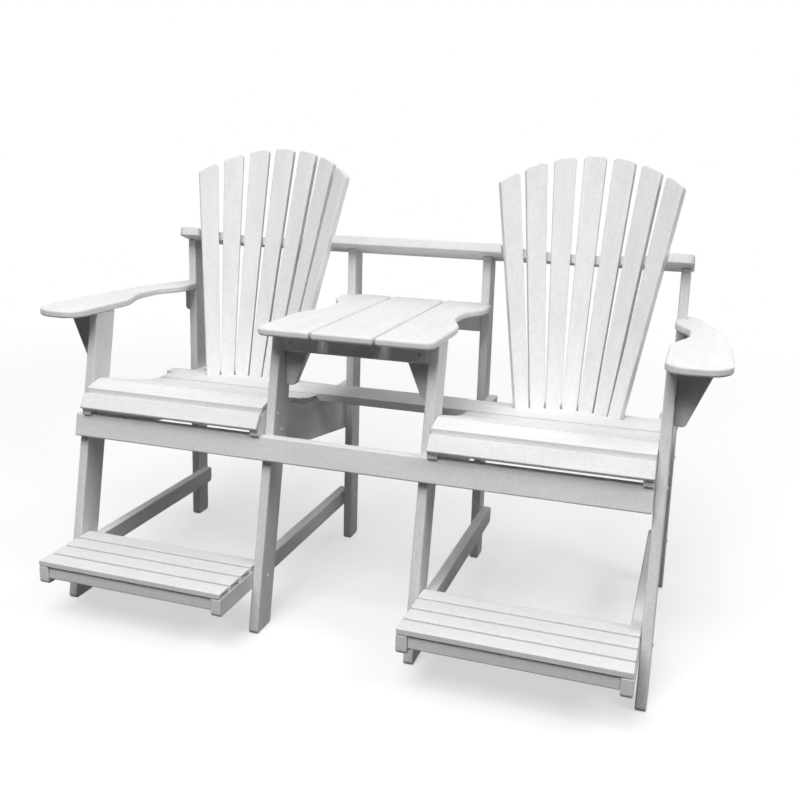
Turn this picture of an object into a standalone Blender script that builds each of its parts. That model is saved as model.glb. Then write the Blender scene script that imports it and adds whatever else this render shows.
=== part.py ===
"""Adirondack loveseat: two tall fan-back chairs with footrests, joined by a small table.

The loveseat stands on eight plank legs. Its front legs lean, its rear posts are upright.
Metres, +Z up, the sitter faces -Y. Heights are counted from the floor. Depths are counted from the
leg datum, the front face of the front legs at the height of the stretcher's middle, and every piece
hangs on an empty that puts the middle of the whole object's depth over the origin.
"""

from math import cos, radians, sin, sqrt, tan

import bmesh
import bpy
from mathutils import Matrix, Vector

# Board thicknesses
BOARD = 0.0275
RAIL_BOARD = 0.030
ARM_BOARD = 0.022
SEAT_BOARD = 0.025
SEAT_SLAT = 0.0176
FOOT_SLAT = 0.0165
BACK_SLAT = 0.022

# Edges, seams and clearances
EDGE = 0.003
TOUCH = 0.0003
CUT_MARGIN = 0.0006

# Plan: half the space between the inner legs, and the width of one seat between its legs
TABLE_HALF = 0.2135
SEAT_WIDTH = 0.571

# Front legs and stretcher
LEG_DEPTH = 0.090
LEG_RAKE = 0.190
STRETCHER_HEIGHT = 0.067
STRETCHER_Z = 0.5235
FOOT_RADIUS = 0.012

# Rear posts
POST_FRONT = 0.646
POST_DEPTH = 0.070

# Footrest
FOOT_RAIL_TOP = 0.1752
FOOT_RAIL_HEIGHT = 0.053
FOOT_RAIL_CORNER = 0.014
FOOTREST_FRONT = -0.2612
FOOT_RAIL_END = 0.690
FOOT_SLAT_WIDTH = 0.0518
FOOT_SLAT_PITCH = 0.0617
FOOT_SLAT_COUNT = 4
FOOT_APRON_HEIGHT = 0.037
FOOT_APRON_SETBACK = 0.006
FOOT_RAIL_SETBACK = 0.001
FOOT_SLAT_INSET = 0.0012
FOOT_JOIN = 0.001

# Seat: the nose and front slats, then the dip that runs back to the seat board
NOSE_FOOT_Y = -0.048
NOSE_FOOT_Z = 0.583
NOSE_HEAD_Y = -0.020
NOSE_HEAD_Z = 0.622
FRONT_SLAT_Y = -0.008
FRONT_SLAT_Z = 0.634
CROWN_Y = 0.0505
CROWN_Z = 0.650
DIP_START_Y = 0.0560
DIP_END_Y = 0.3990
DIP_DROP = 0.0720
SEAT_BOARD_TOP = 0.580
DIP_DROP_SHARES = (0.0, 0.20, 0.46, 0.71, 0.91, 1.0)
SEAT_SLAT_SEAM = 0.0055
SEAT_BOARD_FRONT = 0.4025
SEAT_BOARD_DEPTH = 0.136
SEAT_BOARD_SHOULDER = 0.484
SEAT_RAIL_HEIGHT = 0.140
SEAT_RAIL_TAIL = 0.163
SEAT_RAIL_NOSE_Y = -0.033
BATTEN_END_DEPTH = 0.0445
BATTEN_WEB = 0.042

# Back fans
RECLINE = radians(17.5)
FAN_Y = 0.530
FAN_RAIL_RISE = 0.4536
SLATS_PER_SIDE = 3
LOW_PITCH = 0.048
LOW_RADIUS = 0.260
HIGH_PITCH = 0.0724
HIGH_RADIUS = 0.390
SLAT_LOW_WIDTH = 0.0445
SLAT_RAIL_WIDTH = 0.0586
SLAT_TAIL = 0.084
FAN_HEIGHT = 0.791
FAN_TOP_RADIUS = 0.375
SLAT_CORNER = 0.010

# Top rail, lying square to the reclined backs
RAIL_Y = 0.589
RAIL_Z = 1.037
RAIL_DEPTH = 0.136
RAIL_OVERHANG = 0.0080
RAIL_CORNER = 0.022

# Arms and table
ARM_TOP = 0.8657
ARM_FRONT = -0.054
ARM_REAR = 0.704
ARM_SEAT_OVERHANG = 0.003
ARM_WIDTH = 0.156
ARM_TAIL_WIDTH = 0.0555
ARM_TAPER_START = 0.080
ARM_TAPER_POWER = 2.5
ARM_INNER_CORNER = 0.050
ARM_OUTER_CORNER = 0.074
ARM_TAIL_CORNER = 0.012
SCOOP_DEPTH = 0.045
SCOOP_START = 0.205
SCOOP_FULL = 0.375
SCOOP_LEAVE = 0.450
SCOOP_END = 0.580
TABLE_FRONT = -0.042
TABLE_OVERHANG = 0.009
TABLE_MIDDLE_HALF = 0.0865
TABLE_SEAM = 0.0060
TABLE_CORNER = 0.034
TABLE_INNER_CORNER = 0.008
TABLE_REAR = 0.672
APRON_HEIGHT = 0.056
REAR_APRON_HEIGHT = 0.068

# Gussets under the arms and the table, cleats under the arms' rear ends
GUSSET_HEIGHT = 0.161
GUSSET_REACH = 0.094
GUSSET_TIP = 0.027
GUSSET_CORNER = 0.012
CLEAT_HEIGHT = 0.080
CLEAT_REACH = 0.0275
CLEAT_CORNER = 0.014

# Curve fineness
CORNER_STEPS = 3
CURVE_STEPS = 7

# Derived places
INNER_SIDE = TABLE_HALF + BOARD
OUTER_SIDE = INNER_SIDE + SEAT_WIDTH
OUTER_FACE = OUTER_SIDE + BOARD
CHAIR_X = INNER_SIDE + SEAT_WIDTH / 2
ARM_UNDER = ARM_TOP - ARM_BOARD
POST_REAR = POST_FRONT + POST_DEPTH
FAN_REAR = FAN_Y + (FAN_HEIGHT - EDGE) * sin(RECLINE) + BACK_SLAT * cos(RECLINE)
MIDDLE_Y = (FOOTREST_FRONT + FAN_REAR) / 2
SIDES = {"left": -1, "right": 1}

WHITE = (0.88, 0.88, 0.87, 1.0)
SHADE = (0.84, 0.84, 0.83, 1.0)


def clear_scene():
    for item in list(bpy.data.objects):
        bpy.data.objects.remove(item, do_unlink=True)


def material(name, colour, roughness):
    made = bpy.data.materials.new(name)
    made.use_nodes = True
    shader = made.node_tree.nodes["Principled BSDF"]
    shader.inputs["Base Color"].default_value = colour
    shader.inputs["Roughness"].default_value = roughness
    shader.inputs["Metallic"].default_value = 0.0
    return made


def rounded(points, radii, steps=CORNER_STEPS):
    """Round each corner of a closed outline by its own radius, 0 for a sharp one."""
    outline = []
    count = len(points)
    for index, (point, radius) in enumerate(zip(points, radii)):
        corner = Vector(point)
        if not radius:
            outline.append(corner)
            continue
        before = (Vector(points[index - 1]) - corner).normalized()
        after = (Vector(points[(index + 1) % count]) - corner).normalized()
        half = before.angle(after) / 2
        reach = radius / tan(half)
        centre = corner + (before + after).normalized() * radius / sin(half)
        start = corner + before * reach - centre
        sweep = (corner + after * reach - centre).angle_signed(start)
        for step in range(steps + 1):
            turn = Matrix.Rotation(sweep * step / steps, 2)
            outline.append(centre + turn @ start)
    return outline


def along_x(x):
    """Place an outline of (depth, height) points at one X."""
    return lambda point: Vector((x, point[0], point[1]))


def along_y(y):
    """Place an outline of (X, height) points at one depth."""
    return lambda point: Vector((point[0], y, point[1]))


def along_z(z):
    """Place an outline of (X, depth) points at one height."""
    return lambda point: Vector((point[0], point[1], z))


def add_loft(shape, first, second):
    """Join two closed outlines of equally many points into one solid."""
    low = [shape.verts.new(point) for point in first]
    high = [shape.verts.new(point) for point in second]
    count = len(low)
    shape.faces.new(low)
    shape.faces.new(list(reversed(high)))
    for index in range(count):
        following = (index + 1) % count
        shape.faces.new((low[index], high[index], high[following], low[following]))


def add_prism(shape, outline, place, start, end):
    """Add an outline carried straight from start to end along its axis."""
    add_loft(shape, map(place(start), outline), map(place(end), outline))


def finish(name, shape, look, parent, eased=True):
    """Turn a bmesh into a named object with eased edges."""
    bmesh.ops.recalc_face_normals(shape, faces=shape.faces)
    mesh = bpy.data.meshes.new(name)
    shape.to_mesh(mesh)
    shape.free()
    piece = bpy.data.objects.new(name, mesh)
    bpy.context.scene.collection.objects.link(piece)
    mesh.materials.append(look)
    piece.parent = parent
    if eased:
        bevel = piece.modifiers.new("eased_edges", "BEVEL")
        bevel.width = EDGE
        bevel.segments = 1
        bevel.limit_method = "ANGLE"
        bevel.angle_limit = radians(50)
    return piece


def solid(name, outline, place, start, end, look, parent, eased=True):
    shape = bmesh.new()
    add_prism(shape, outline, place, start, end)
    return finish(name, shape, look, parent, eased)


def spans(side, near, far):
    """The ends of a span between two distances from the middle, low X first."""
    return sorted((side * near, side * far))


def lean(height):
    """Depth of the front legs' front face at a height."""
    return LEG_RAKE * (height - STRETCHER_Z)


def rail_under(depth):
    """Height of the top rail's underside at a depth."""
    return RAIL_Z - (depth - RAIL_Y) * tan(RECLINE)


# Legs, posts and stretcher
def front_leg_outline():
    head = ARM_UNDER - TOUCH
    points = [(lean(0), 0), (lean(0) + LEG_DEPTH, 0), (lean(head) + LEG_DEPTH, head), (lean(head), head)]
    return rounded(points, (FOOT_RADIUS, FOOT_RADIUS, 0, 0))


def post_outline():
    touch = TOUCH / cos(RECLINE)
    points = [
        (POST_FRONT, 0),
        (POST_REAR, 0),
        (POST_REAR, rail_under(POST_REAR) - touch),
        (POST_FRONT, rail_under(POST_FRONT) - touch),
    ]
    return rounded(points, (FOOT_RADIUS, FOOT_RADIUS, 0, 0))


def make_legs(look, parent):
    planes = {"inner": (TABLE_HALF, INNER_SIDE), "outer": (OUTER_SIDE, OUTER_FACE)}
    for side_name, side in SIDES.items():
        for place_name, (near, far) in planes.items():
            low, high = spans(side, near, far)
            tail = f"{place_name}_{side_name}"
            solid(f"front_leg_{tail}", front_leg_outline(), along_x, low, high, look, parent)
            solid(f"rear_post_{tail}", post_outline(), along_x, low, high, look, parent)


def make_stretcher(look, parent):
    """The stretcher laps the left outer leg and stops at the right outer leg's inner face."""
    foot = STRETCHER_Z - STRETCHER_HEIGHT / 2
    head = STRETCHER_Z + STRETCHER_HEIGHT / 2
    outline = [
        (lean(foot) - RAIL_BOARD, foot),
        (lean(foot) - TOUCH, foot),
        (lean(head) - TOUCH, head),
        (lean(head) - RAIL_BOARD, head),
    ]
    solid("front_stretcher", outline, along_x, -OUTER_FACE, OUTER_SIDE, look, parent)


# Footrests
def foot_rail_outline():
    foot = FOOT_RAIL_TOP - FOOT_RAIL_HEIGHT
    points = [
        (FOOTREST_FRONT + FOOT_RAIL_SETBACK, foot),
        (FOOT_RAIL_END, foot),
        (FOOT_RAIL_END, FOOT_RAIL_TOP),
        (FOOTREST_FRONT + FOOT_RAIL_SETBACK, FOOT_RAIL_TOP),
    ]
    return rounded(points, (FOOT_RAIL_CORNER, FOOT_RAIL_CORNER, 0, 0))


def seat_side_planes(thickness):
    """Where boards of a thickness lie on the seat sides of the legs."""
    return {
        "inner": (INNER_SIDE + TOUCH, INNER_SIDE + thickness),
        "outer": (OUTER_SIDE - thickness, OUTER_SIDE - TOUCH),
    }


def foot_apron_outline():
    front = FOOTREST_FRONT + FOOT_APRON_SETBACK
    foot = FOOT_RAIL_TOP - FOOT_APRON_HEIGHT
    head = FOOT_RAIL_TOP + FOOT_JOIN
    return [(front, foot), (front + BOARD, foot), (front + BOARD, head), (front, head)]


def foot_slat_outline(index):
    near = FOOTREST_FRONT + index * FOOT_SLAT_PITCH
    far = near + FOOT_SLAT_WIDTH
    under = FOOT_RAIL_TOP - FOOT_JOIN
    over = FOOT_RAIL_TOP + FOOT_SLAT
    return [(near, under), (far, under), (far, over), (near, over)]


def join(base, members):
    """Unite members with a base. The members stay as hidden guides."""
    for member in members:
        member.hide_render = True
        member.display_type = "WIRE"
        union = base.modifiers.new(member.name, "BOOLEAN")
        union.operation = "UNION"
        union.solver = "EXACT"
        union.object = member


def make_footrest(side_name, side, look, parent):
    """Two long rails that carry a front apron and the slats, screwed up as one tread."""
    planes = seat_side_planes(RAIL_BOARD)
    low, high = spans(side, *planes["inner"])
    base = solid(f"footrest_{side_name}", foot_rail_outline(), along_x, low, high, look, parent)
    low, high = spans(side, *planes["outer"])
    members = [solid(f"foot_rail_{side_name}", foot_rail_outline(), along_x, low, high, look, parent)]
    low, high = spans(side, INNER_SIDE + RAIL_BOARD - FOOT_JOIN, OUTER_SIDE - RAIL_BOARD + FOOT_JOIN)
    members.append(solid(f"foot_apron_{side_name}", foot_apron_outline(), along_x, low, high, look, parent))
    low, high = spans(side, INNER_SIDE + FOOT_SLAT_INSET, OUTER_SIDE - FOOT_SLAT_INSET)
    for index in range(FOOT_SLAT_COUNT):
        name = f"foot_slat_{side_name}_{index + 1}"
        members.append(solid(name, foot_slat_outline(index), along_x, low, high, look, parent))
    join(base, members)


# Seats
def dip_nodes():
    """Points along the top of the dished part of the seat, front to rear."""
    count = len(DIP_DROP_SHARES) - 1
    run = DIP_END_Y - DIP_START_Y
    return [
        Vector((DIP_START_Y + run * index / count, CROWN_Z - DIP_DROP * share))
        for index, share in enumerate(DIP_DROP_SHARES)
    ]


def seat_chords():
    """Front and rear edges of each slat's top face: the front slat, then the dish."""
    chords = [(Vector((FRONT_SLAT_Y, FRONT_SLAT_Z)), Vector((CROWN_Y, CROWN_Z)))]
    nodes = dip_nodes()
    for near, far in zip(nodes, nodes[1:]):
        chords.append((near, far + (near - far).normalized() * SEAT_SLAT_SEAM))
    return chords


def below(near, far, depth):
    """The two ends of a chord moved square to it, towards the inside of the seat."""
    direction = (far - near).normalized()
    inward = Vector((direction.y, -direction.x)) * depth
    return near + inward, far + inward


def nose_section():
    near, far = nose_chord()
    under_near, under_far = below(near, far, SEAT_SLAT)
    return [near, under_near, under_far, far]


def slat_section(near, far):
    """A seat slat with plumb narrow sides."""
    drop = Vector((0, SEAT_SLAT * (far - near).length / (far.x - near.x)))
    return [near, near - drop, far - drop, far]


def nose_chord():
    return Vector((NOSE_FOOT_Y, NOSE_FOOT_Z)), Vector((NOSE_HEAD_Y, NOSE_HEAD_Z))


def crossing(first, second):
    """Where two lines of the depth and height plane, each given by two points, cross."""
    (a, b), (c, d) = first, second
    along, other = b - a, d - c
    share = (c - a).cross(other) / along.cross(other)
    return a + along * share


def seat_rail_outline():
    """A board that follows the undersides of the slats, with a straight sloping lower edge."""
    depth = SEAT_SLAT + TOUCH
    nose = below(*nose_chord(), depth)
    front = below(*seat_chords()[0], depth)
    nodes = dip_nodes()
    chords = [below(near, far, depth) for near, far in zip(nodes, nodes[1:])]
    tops = [crossing(nose, front), crossing(front, chords[0])]
    tops += [crossing(one, two) for one, two in zip(chords, chords[1:])]
    board_under = SEAT_BOARD_TOP - SEAT_BOARD - TOUCH
    head = STRETCHER_Z + STRETCHER_HEIGHT / 2 + TOUCH
    foot = CROWN_Z - SEAT_SLAT - SEAT_RAIL_HEIGHT
    nose_foot = nose[0] + (nose[1] - nose[0]) * ((SEAT_RAIL_NOSE_Y - nose[0].x) / (nose[1].x - nose[0].x))
    points = [
        Vector((lean(foot) + TOUCH, foot)),
        Vector((lean(head) + TOUCH, head)),
        Vector((SEAT_RAIL_NOSE_Y, head)),
        nose_foot,
        *tops,
        Vector((SEAT_BOARD_FRONT - SEAT_SLAT_SEAM, chords[-1][1].y)),
        Vector((SEAT_BOARD_FRONT - SEAT_SLAT_SEAM, board_under)),
        Vector((POST_REAR, board_under)),
        Vector((POST_REAR, board_under - SEAT_RAIL_TAIL)),
    ]
    return points


def make_seat(side_name, side, look, parent):
    for place_name, (near, far) in seat_side_planes(BOARD).items():
        low, high = spans(side, near, far)
        name = f"seat_rail_{place_name}_{side_name}"
        solid(name, seat_rail_outline(), along_x, low, high, look, parent)

    low, high = spans(side, INNER_SIDE + TOUCH, OUTER_SIDE - TOUCH)
    solid(f"seat_nose_{side_name}", nose_section(), along_x, low, high, look, parent)
    for index, chord in enumerate(seat_chords()):
        solid(f"seat_slat_{side_name}_{index + 1}", slat_section(*chord), along_x, low, high, look, parent)


# Back fans
def back_frame(chair_x):
    """Axes of one chair's back: X across, Y to the rear and Z up along the recline."""
    return Matrix.Translation((chair_x, FAN_Y, SEAT_BOARD_TOP)) @ Matrix.Rotation(-RECLINE, 4, "X")


def slat_frame(index):
    """Axes of one slat within its back: it stands on two arcs and faces their common middle."""
    low_turn = index * LOW_PITCH / LOW_RADIUS
    high_turn = index * HIGH_PITCH / HIGH_RADIUS
    foot = Vector((LOW_RADIUS * sin(low_turn), -LOW_RADIUS * (1 - cos(low_turn)), 0))
    head = Vector((HIGH_RADIUS * sin(high_turn), -HIGH_RADIUS * (1 - cos(high_turn)), FAN_RAIL_RISE))
    up = (head - foot).normalized()
    turn = (low_turn + high_turn) / 2
    across = Vector((cos(turn), -sin(turn), 0))
    across = (across - up * across.dot(up)).normalized()
    rear = up.cross(across)
    return Matrix.Translation(foot) @ Matrix((across, rear, up)).transposed().to_4x4()


def slat_half(length):
    """Half the width of a slat at a distance along it from the seat board's top."""
    growth = (SLAT_RAIL_WIDTH - SLAT_LOW_WIDTH) / FAN_RAIL_RISE
    return (SLAT_LOW_WIDTH + growth * length) / 2


def slat_top(frame, share):
    """A point of the slat's top end, on the fan's crowning arc. Share runs from -1 to 1 across."""
    length = FAN_HEIGHT
    for _ in range(CURVE_STEPS):
        point = frame @ Vector((share * slat_half(length), 0, length))
        crown = FAN_HEIGHT - FAN_TOP_RADIUS + sqrt(FAN_TOP_RADIUS ** 2 - point.x ** 2)
        length += crown - point.z
    return share * slat_half(length), length


def back_slat_outline(frame):
    tops = [slat_top(frame, share) for share in (1.0, 0.5, 0.0, -0.5, -1.0)]
    points = [(-slat_half(-SLAT_TAIL), -SLAT_TAIL), (slat_half(-SLAT_TAIL), -SLAT_TAIL), *tops]
    return rounded(points, (0, 0, SLAT_CORNER, 0, 0, 0, SLAT_CORNER))


def make_fan(side_name, chair_x, look, parent):
    for index in range(-SLATS_PER_SIDE, SLATS_PER_SIDE + 1):
        frame = slat_frame(index)
        name = f"back_slat_{side_name}_{index + SLATS_PER_SIDE + 1}"
        slat = solid(name, back_slat_outline(frame), along_y, 0, BACK_SLAT, look, parent)
        slat.matrix_local = back_frame(chair_x) @ frame


def fan_line(chair_x, origin, normal, depth):
    """Where a plane cuts the slats' long edges, at their faces or at a depth behind them."""
    line = []
    for index in range(-SLATS_PER_SIDE, SLATS_PER_SIDE + 1):
        frame = back_frame(chair_x) @ slat_frame(index)
        for share in (-1, 1):
            low = frame @ Vector((share * slat_half(0), depth, 0))
            high = frame @ Vector((share * slat_half(FAN_RAIL_RISE), depth, FAN_RAIL_RISE))
            along = high - low
            line.append(low + along * ((origin - low).dot(normal) / along.dot(normal)))
    return line


def level_fan_line(chair_x, height, depth, margin):
    """The fan's outline at a height, moved by a margin away from the slats."""
    line = fan_line(chair_x, Vector((0, 0, height)), Vector((0, 0, 1)), depth)
    return [(point.x, point.y + margin) for point in line]


def side_crossing(face_corner, rear_corner, depth):
    """X at which an end slat's narrow side, given by its two corners, reaches a depth."""
    share = (depth - face_corner[1]) / (rear_corner[1] - face_corner[1])
    return face_corner[0] + (rear_corner[0] - face_corner[0]) * share


# Boards that hold the fans
def seat_board_outline(height):
    """One board under both chairs: its rear edge steps round the fans."""
    rear = SEAT_BOARD_FRONT + SEAT_BOARD_DEPTH
    points = [(-OUTER_SIDE, SEAT_BOARD_FRONT), (OUTER_SIDE, SEAT_BOARD_FRONT)]
    points.append((OUTER_SIDE, SEAT_BOARD_SHOULDER))
    for chair_x in (CHAIR_X, -CHAIR_X):
        line = level_fan_line(chair_x, height, 0, -CUT_MARGIN)
        behind = level_fan_line(chair_x, height, BACK_SLAT, -CUT_MARGIN)
        high = side_crossing(line[-1], behind[-1], SEAT_BOARD_SHOULDER) + CUT_MARGIN
        low = side_crossing(line[0], behind[0], SEAT_BOARD_SHOULDER) - CUT_MARGIN
        points.append((high, SEAT_BOARD_SHOULDER))
        points.append((line[-1][0] + CUT_MARGIN, line[-1][1]))
        points += reversed(line[1:-1])
        points.append((line[0][0] - CUT_MARGIN, line[0][1]))
        points.append((low, SEAT_BOARD_SHOULDER))
        if chair_x > 0:
            points += [
                (TABLE_HALF, SEAT_BOARD_SHOULDER),
                (TABLE_HALF, rear),
                (-TABLE_HALF, rear),
                (-TABLE_HALF, SEAT_BOARD_SHOULDER),
            ]
    points.append((-OUTER_SIDE, SEAT_BOARD_SHOULDER))
    return points


def make_seat_board(look, parent):
    low = SEAT_BOARD_TOP - SEAT_BOARD
    shape = bmesh.new()
    first = map(along_z(low), seat_board_outline(low))
    second = map(along_z(SEAT_BOARD_TOP), seat_board_outline(SEAT_BOARD_TOP))
    add_loft(shape, first, second)
    finish("seat_board", shape, look, parent)


def batten_outline(chair_x, height):
    """A board bowed round the back of the fan, with a straight strip at each end."""
    side = 1 if chair_x > 0 else -1
    front = SEAT_BOARD_SHOULDER + CUT_MARGIN
    line = level_fan_line(chair_x, height, BACK_SLAT, CUT_MARGIN)
    low, high = spans(side, TABLE_HALF + CUT_MARGIN, OUTER_FACE)
    first = (line[0][0] - CUT_MARGIN, line[0][1])
    last = (line[-1][0] + CUT_MARGIN, line[-1][1])
    end = front + BATTEN_END_DEPTH
    behind = [(x, y + BATTEN_WEB) for x, y in reversed(line)]
    notch = [(first[0], front), first, *line[1:-1], last, (last[0], front)]
    return [(low, front), *notch, (high, front), (high, end), *behind, (low, end)]


def make_batten(side_name, chair_x, look, parent):
    low = SEAT_BOARD_TOP - SEAT_BOARD
    shape = bmesh.new()
    first = map(along_z(low), batten_outline(chair_x, low))
    second = map(along_z(SEAT_BOARD_TOP), batten_outline(chair_x, SEAT_BOARD_TOP))
    add_loft(shape, first, second)
    finish(f"lower_back_batten_{side_name}", shape, look, parent)


def rail_frame():
    return Matrix.Translation((0, RAIL_Y, RAIL_Z)) @ Matrix.Rotation(-RECLINE, 4, "X")


def rail_outline(rise):
    """The top rail's outline in its own plane, its front edge cut to the slats' rear faces."""
    frame = rail_frame()
    inverse = frame.inverted()
    origin = frame @ Vector((0, 0, rise))
    normal = frame.to_3x3() @ Vector((0, 0, 1))
    half = OUTER_FACE + RAIL_OVERHANG
    points = [(half, 0), (half, RAIL_DEPTH), (-half, RAIL_DEPTH), (-half, 0)]
    outline = rounded(points, (RAIL_CORNER,) * len(points))
    for chair_x in (-CHAIR_X, CHAIR_X):
        line = [inverse @ point for point in fan_line(chair_x, origin, normal, BACK_SLAT)]
        outline.append((line[0].x - CUT_MARGIN, 0))
        outline.append((line[0].x - CUT_MARGIN, line[0].y + CUT_MARGIN))
        outline += [(point.x, point.y + CUT_MARGIN) for point in line[1:-1]]
        outline.append((line[-1].x + CUT_MARGIN, line[-1].y + CUT_MARGIN))
        outline.append((line[-1].x + CUT_MARGIN, 0))
    return outline


def make_top_rail(look, parent):
    shape = bmesh.new()
    add_loft(shape, map(along_z(0), rail_outline(0)), map(along_z(RAIL_BOARD), rail_outline(RAIL_BOARD)))
    rail = finish("top_rail", shape, look, parent)
    rail.matrix_local = rail_frame()


# Arms and table
def smooth(value, start, end):
    share = min(max((value - start) / (end - start), 0), 1)
    return share * share * (3 - 2 * share)


def scoop(depth):
    """How far the edge beside the fan is hollowed at a depth."""
    return SCOOP_DEPTH * (smooth(depth, SCOOP_START, SCOOP_FULL) - smooth(depth, SCOOP_LEAVE, SCOOP_END))


def scoop_depths():
    count = CURVE_STEPS - 2
    rise = [SCOOP_START + (SCOOP_FULL - SCOOP_START) * step / count for step in range(count + 1)]
    fall = [SCOOP_LEAVE + (SCOOP_END - SCOOP_LEAVE) * step / count for step in range(count + 1)]
    return rise + fall


def arm_outline(side):
    """An arm seen from above: scooped beside the fan, tapered on the outside, notched round the post."""
    inner = OUTER_SIDE - ARM_SEAT_OVERHANG
    outer = inner + ARM_WIDTH
    step = POST_FRONT - TOUCH
    notch = OUTER_FACE + CUT_MARGIN
    tail = inner + ARM_TAIL_WIDTH
    front = rounded(
        [(inner, SCOOP_START), (inner, ARM_FRONT), (outer, ARM_FRONT), (outer, ARM_TAPER_START)],
        (0, ARM_INNER_CORNER, ARM_OUTER_CORNER, 0),
        CORNER_STEPS + 2,
    )
    taper = []
    for index in range(1, CURVE_STEPS + 1):
        share = index / CURVE_STEPS
        depth = ARM_TAPER_START + (ARM_REAR - ARM_TAPER_START) * share
        taper.append((outer - (outer - tail) * share ** ARM_TAPER_POWER, depth))
    end = rounded([taper[-2], taper[-1], (notch, ARM_REAR)], (0, ARM_TAIL_CORNER, 0))
    inside = [(inner + scoop(depth), depth) for depth in reversed(scoop_depths()[1:])]
    points = [*front, *taper[:-2], *end, (notch, step), (inner, step), *inside]
    return [(side * point[0], point[1]) for point in points]


def make_arm(side_name, side, look, parent):
    solid(f"arm_{side_name}", arm_outline(side), along_z, ARM_UNDER, ARM_TOP, look, parent)
    base = OUTER_FACE + TOUCH
    head = ARM_UNDER - TOUCH
    foot = head - CLEAT_HEIGHT
    points = [(base, foot), (base + CLEAT_REACH, foot), (base + CLEAT_REACH, head), (base, head)]
    outline = [(side * point[0], point[1]) for point in rounded(points, (0, CLEAT_CORNER, 0, 0))]
    front = POST_FRONT + (POST_DEPTH - BOARD) / 2
    solid(f"arm_cleat_{side_name}", outline, along_y, front, front + BOARD, look, parent)


def table_side_outline(side):
    """An outer table plank: the arm's scooped edge faces the seat, and its rear fits past the post."""
    inner = TABLE_MIDDLE_HALF + TABLE_SEAM
    outer = INNER_SIDE + TABLE_OVERHANG
    notch = TABLE_HALF - CUT_MARGIN
    front = rounded(
        [(inner, TABLE_REAR), (inner, TABLE_FRONT), (outer, TABLE_FRONT), (outer, SCOOP_START)],
        (0, TABLE_INNER_CORNER, TABLE_CORNER, 0),
        CORNER_STEPS + 1,
    )
    outside = [(outer - scoop(depth), depth) for depth in scoop_depths()[1:]]
    shoulder = POST_FRONT - CUT_MARGIN
    points = [*front, *outside, (outer, shoulder), (notch, shoulder), (notch, TABLE_REAR)]
    return [(side * point[0], point[1]) for point in points]


def make_table(look, parent):
    for side_name, side in SIDES.items():
        outline = table_side_outline(side)
        solid(f"table_plank_{side_name}", outline, along_z, ARM_UNDER, ARM_TOP, look, parent)
    half = TABLE_MIDDLE_HALF
    middle = [(-half, TABLE_FRONT), (half, TABLE_FRONT), (half, TABLE_REAR), (-half, TABLE_REAR)]
    outline = rounded(middle, (TABLE_INNER_CORNER, TABLE_INNER_CORNER, 0, 0))
    solid("table_plank_middle", outline, along_z, ARM_UNDER, ARM_TOP, look, parent)

    end = TABLE_HALF - TOUCH
    head = ARM_UNDER - TOUCH
    foot = head - APRON_HEIGHT
    apron = [(lean(foot), foot), (lean(foot) + BOARD, foot), (lean(head) + BOARD, head), (lean(head), head)]
    solid("table_front_apron", apron, along_x, -end, end, look, parent)
    foot = head - REAR_APRON_HEIGHT
    rear = POST_FRONT + BOARD
    apron = [(POST_FRONT, foot), (rear, foot), (rear, head), (POST_FRONT, head)]
    solid("table_rear_apron", apron, along_x, -end, end, look, parent)


def make_gussets(look, parent):
    """Brackets that stand on the legs' faces away from the seats, under the arms and the table."""
    head = ARM_UNDER - TOUCH
    foot = head - GUSSET_HEIGHT
    near = lean(head) + BOARD + CUT_MARGIN
    for side_name, side in SIDES.items():
        bases = {"arm": (OUTER_FACE + TOUCH, side), "table": (-TABLE_HALF + TOUCH, -side)}
        for base_name, (base, direction) in bases.items():
            points = [(base, foot), (base + GUSSET_TIP, foot), (base + GUSSET_REACH, head), (base, head)]
            outline = rounded(points, (0, GUSSET_CORNER, 0, 0))
            outline = [(direction * point[0], point[1]) for point in outline]
            name = f"{base_name}_gusset_{side_name}"
            solid(name, outline, along_y, near, near + BOARD, look, parent)


def main():
    clear_scene()
    lumber = material("white_lumber", WHITE, 0.45)
    underframe = material("white_lumber_frame", SHADE, 0.50)

    datum = bpy.data.objects.new("leg_datum", None)
    datum.location = (0, -MIDDLE_Y, 0)
    bpy.context.scene.collection.objects.link(datum)

    make_legs(underframe, datum)
    make_stretcher(lumber, datum)
    make_seat_board(lumber, datum)
    make_top_rail(lumber, datum)
    for side_name, side in SIDES.items():
        make_footrest(side_name, side, lumber, datum)
        make_seat(side_name, side, lumber, datum)
        make_batten(side_name, side * CHAIR_X, lumber, datum)
        make_fan(side_name, side * CHAIR_X, lumber, datum)
        make_arm(side_name, side, lumber, datum)
    make_table(lumber, datum)
    make_gussets(underframe, datum)


main()
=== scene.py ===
"""Looks of a white plastic-lumber loveseat: two tall fan-back chairs, footrests and a shared table.

Every board is a closed surface worked out with numpy: an outline with rounded corners, carried
through the board's thickness, with edges eased along a quarter circle. A board carries two
attributes that its finish reads: "grain", the metres along, across and through it, and "tone", its
own shade within the batch.

Metres, +Z up, the sitter faces -Y. Heights are counted from the floor. Depths are counted from the
leg datum, the front face of the front legs at the height of the stretcher's middle, and the
placements move them so that the object's middle stands over the origin.
"""

import logging
import math
from dataclasses import dataclass, field
from enum import Enum

import bpy
import numpy as np
from mathutils import Matrix


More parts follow.
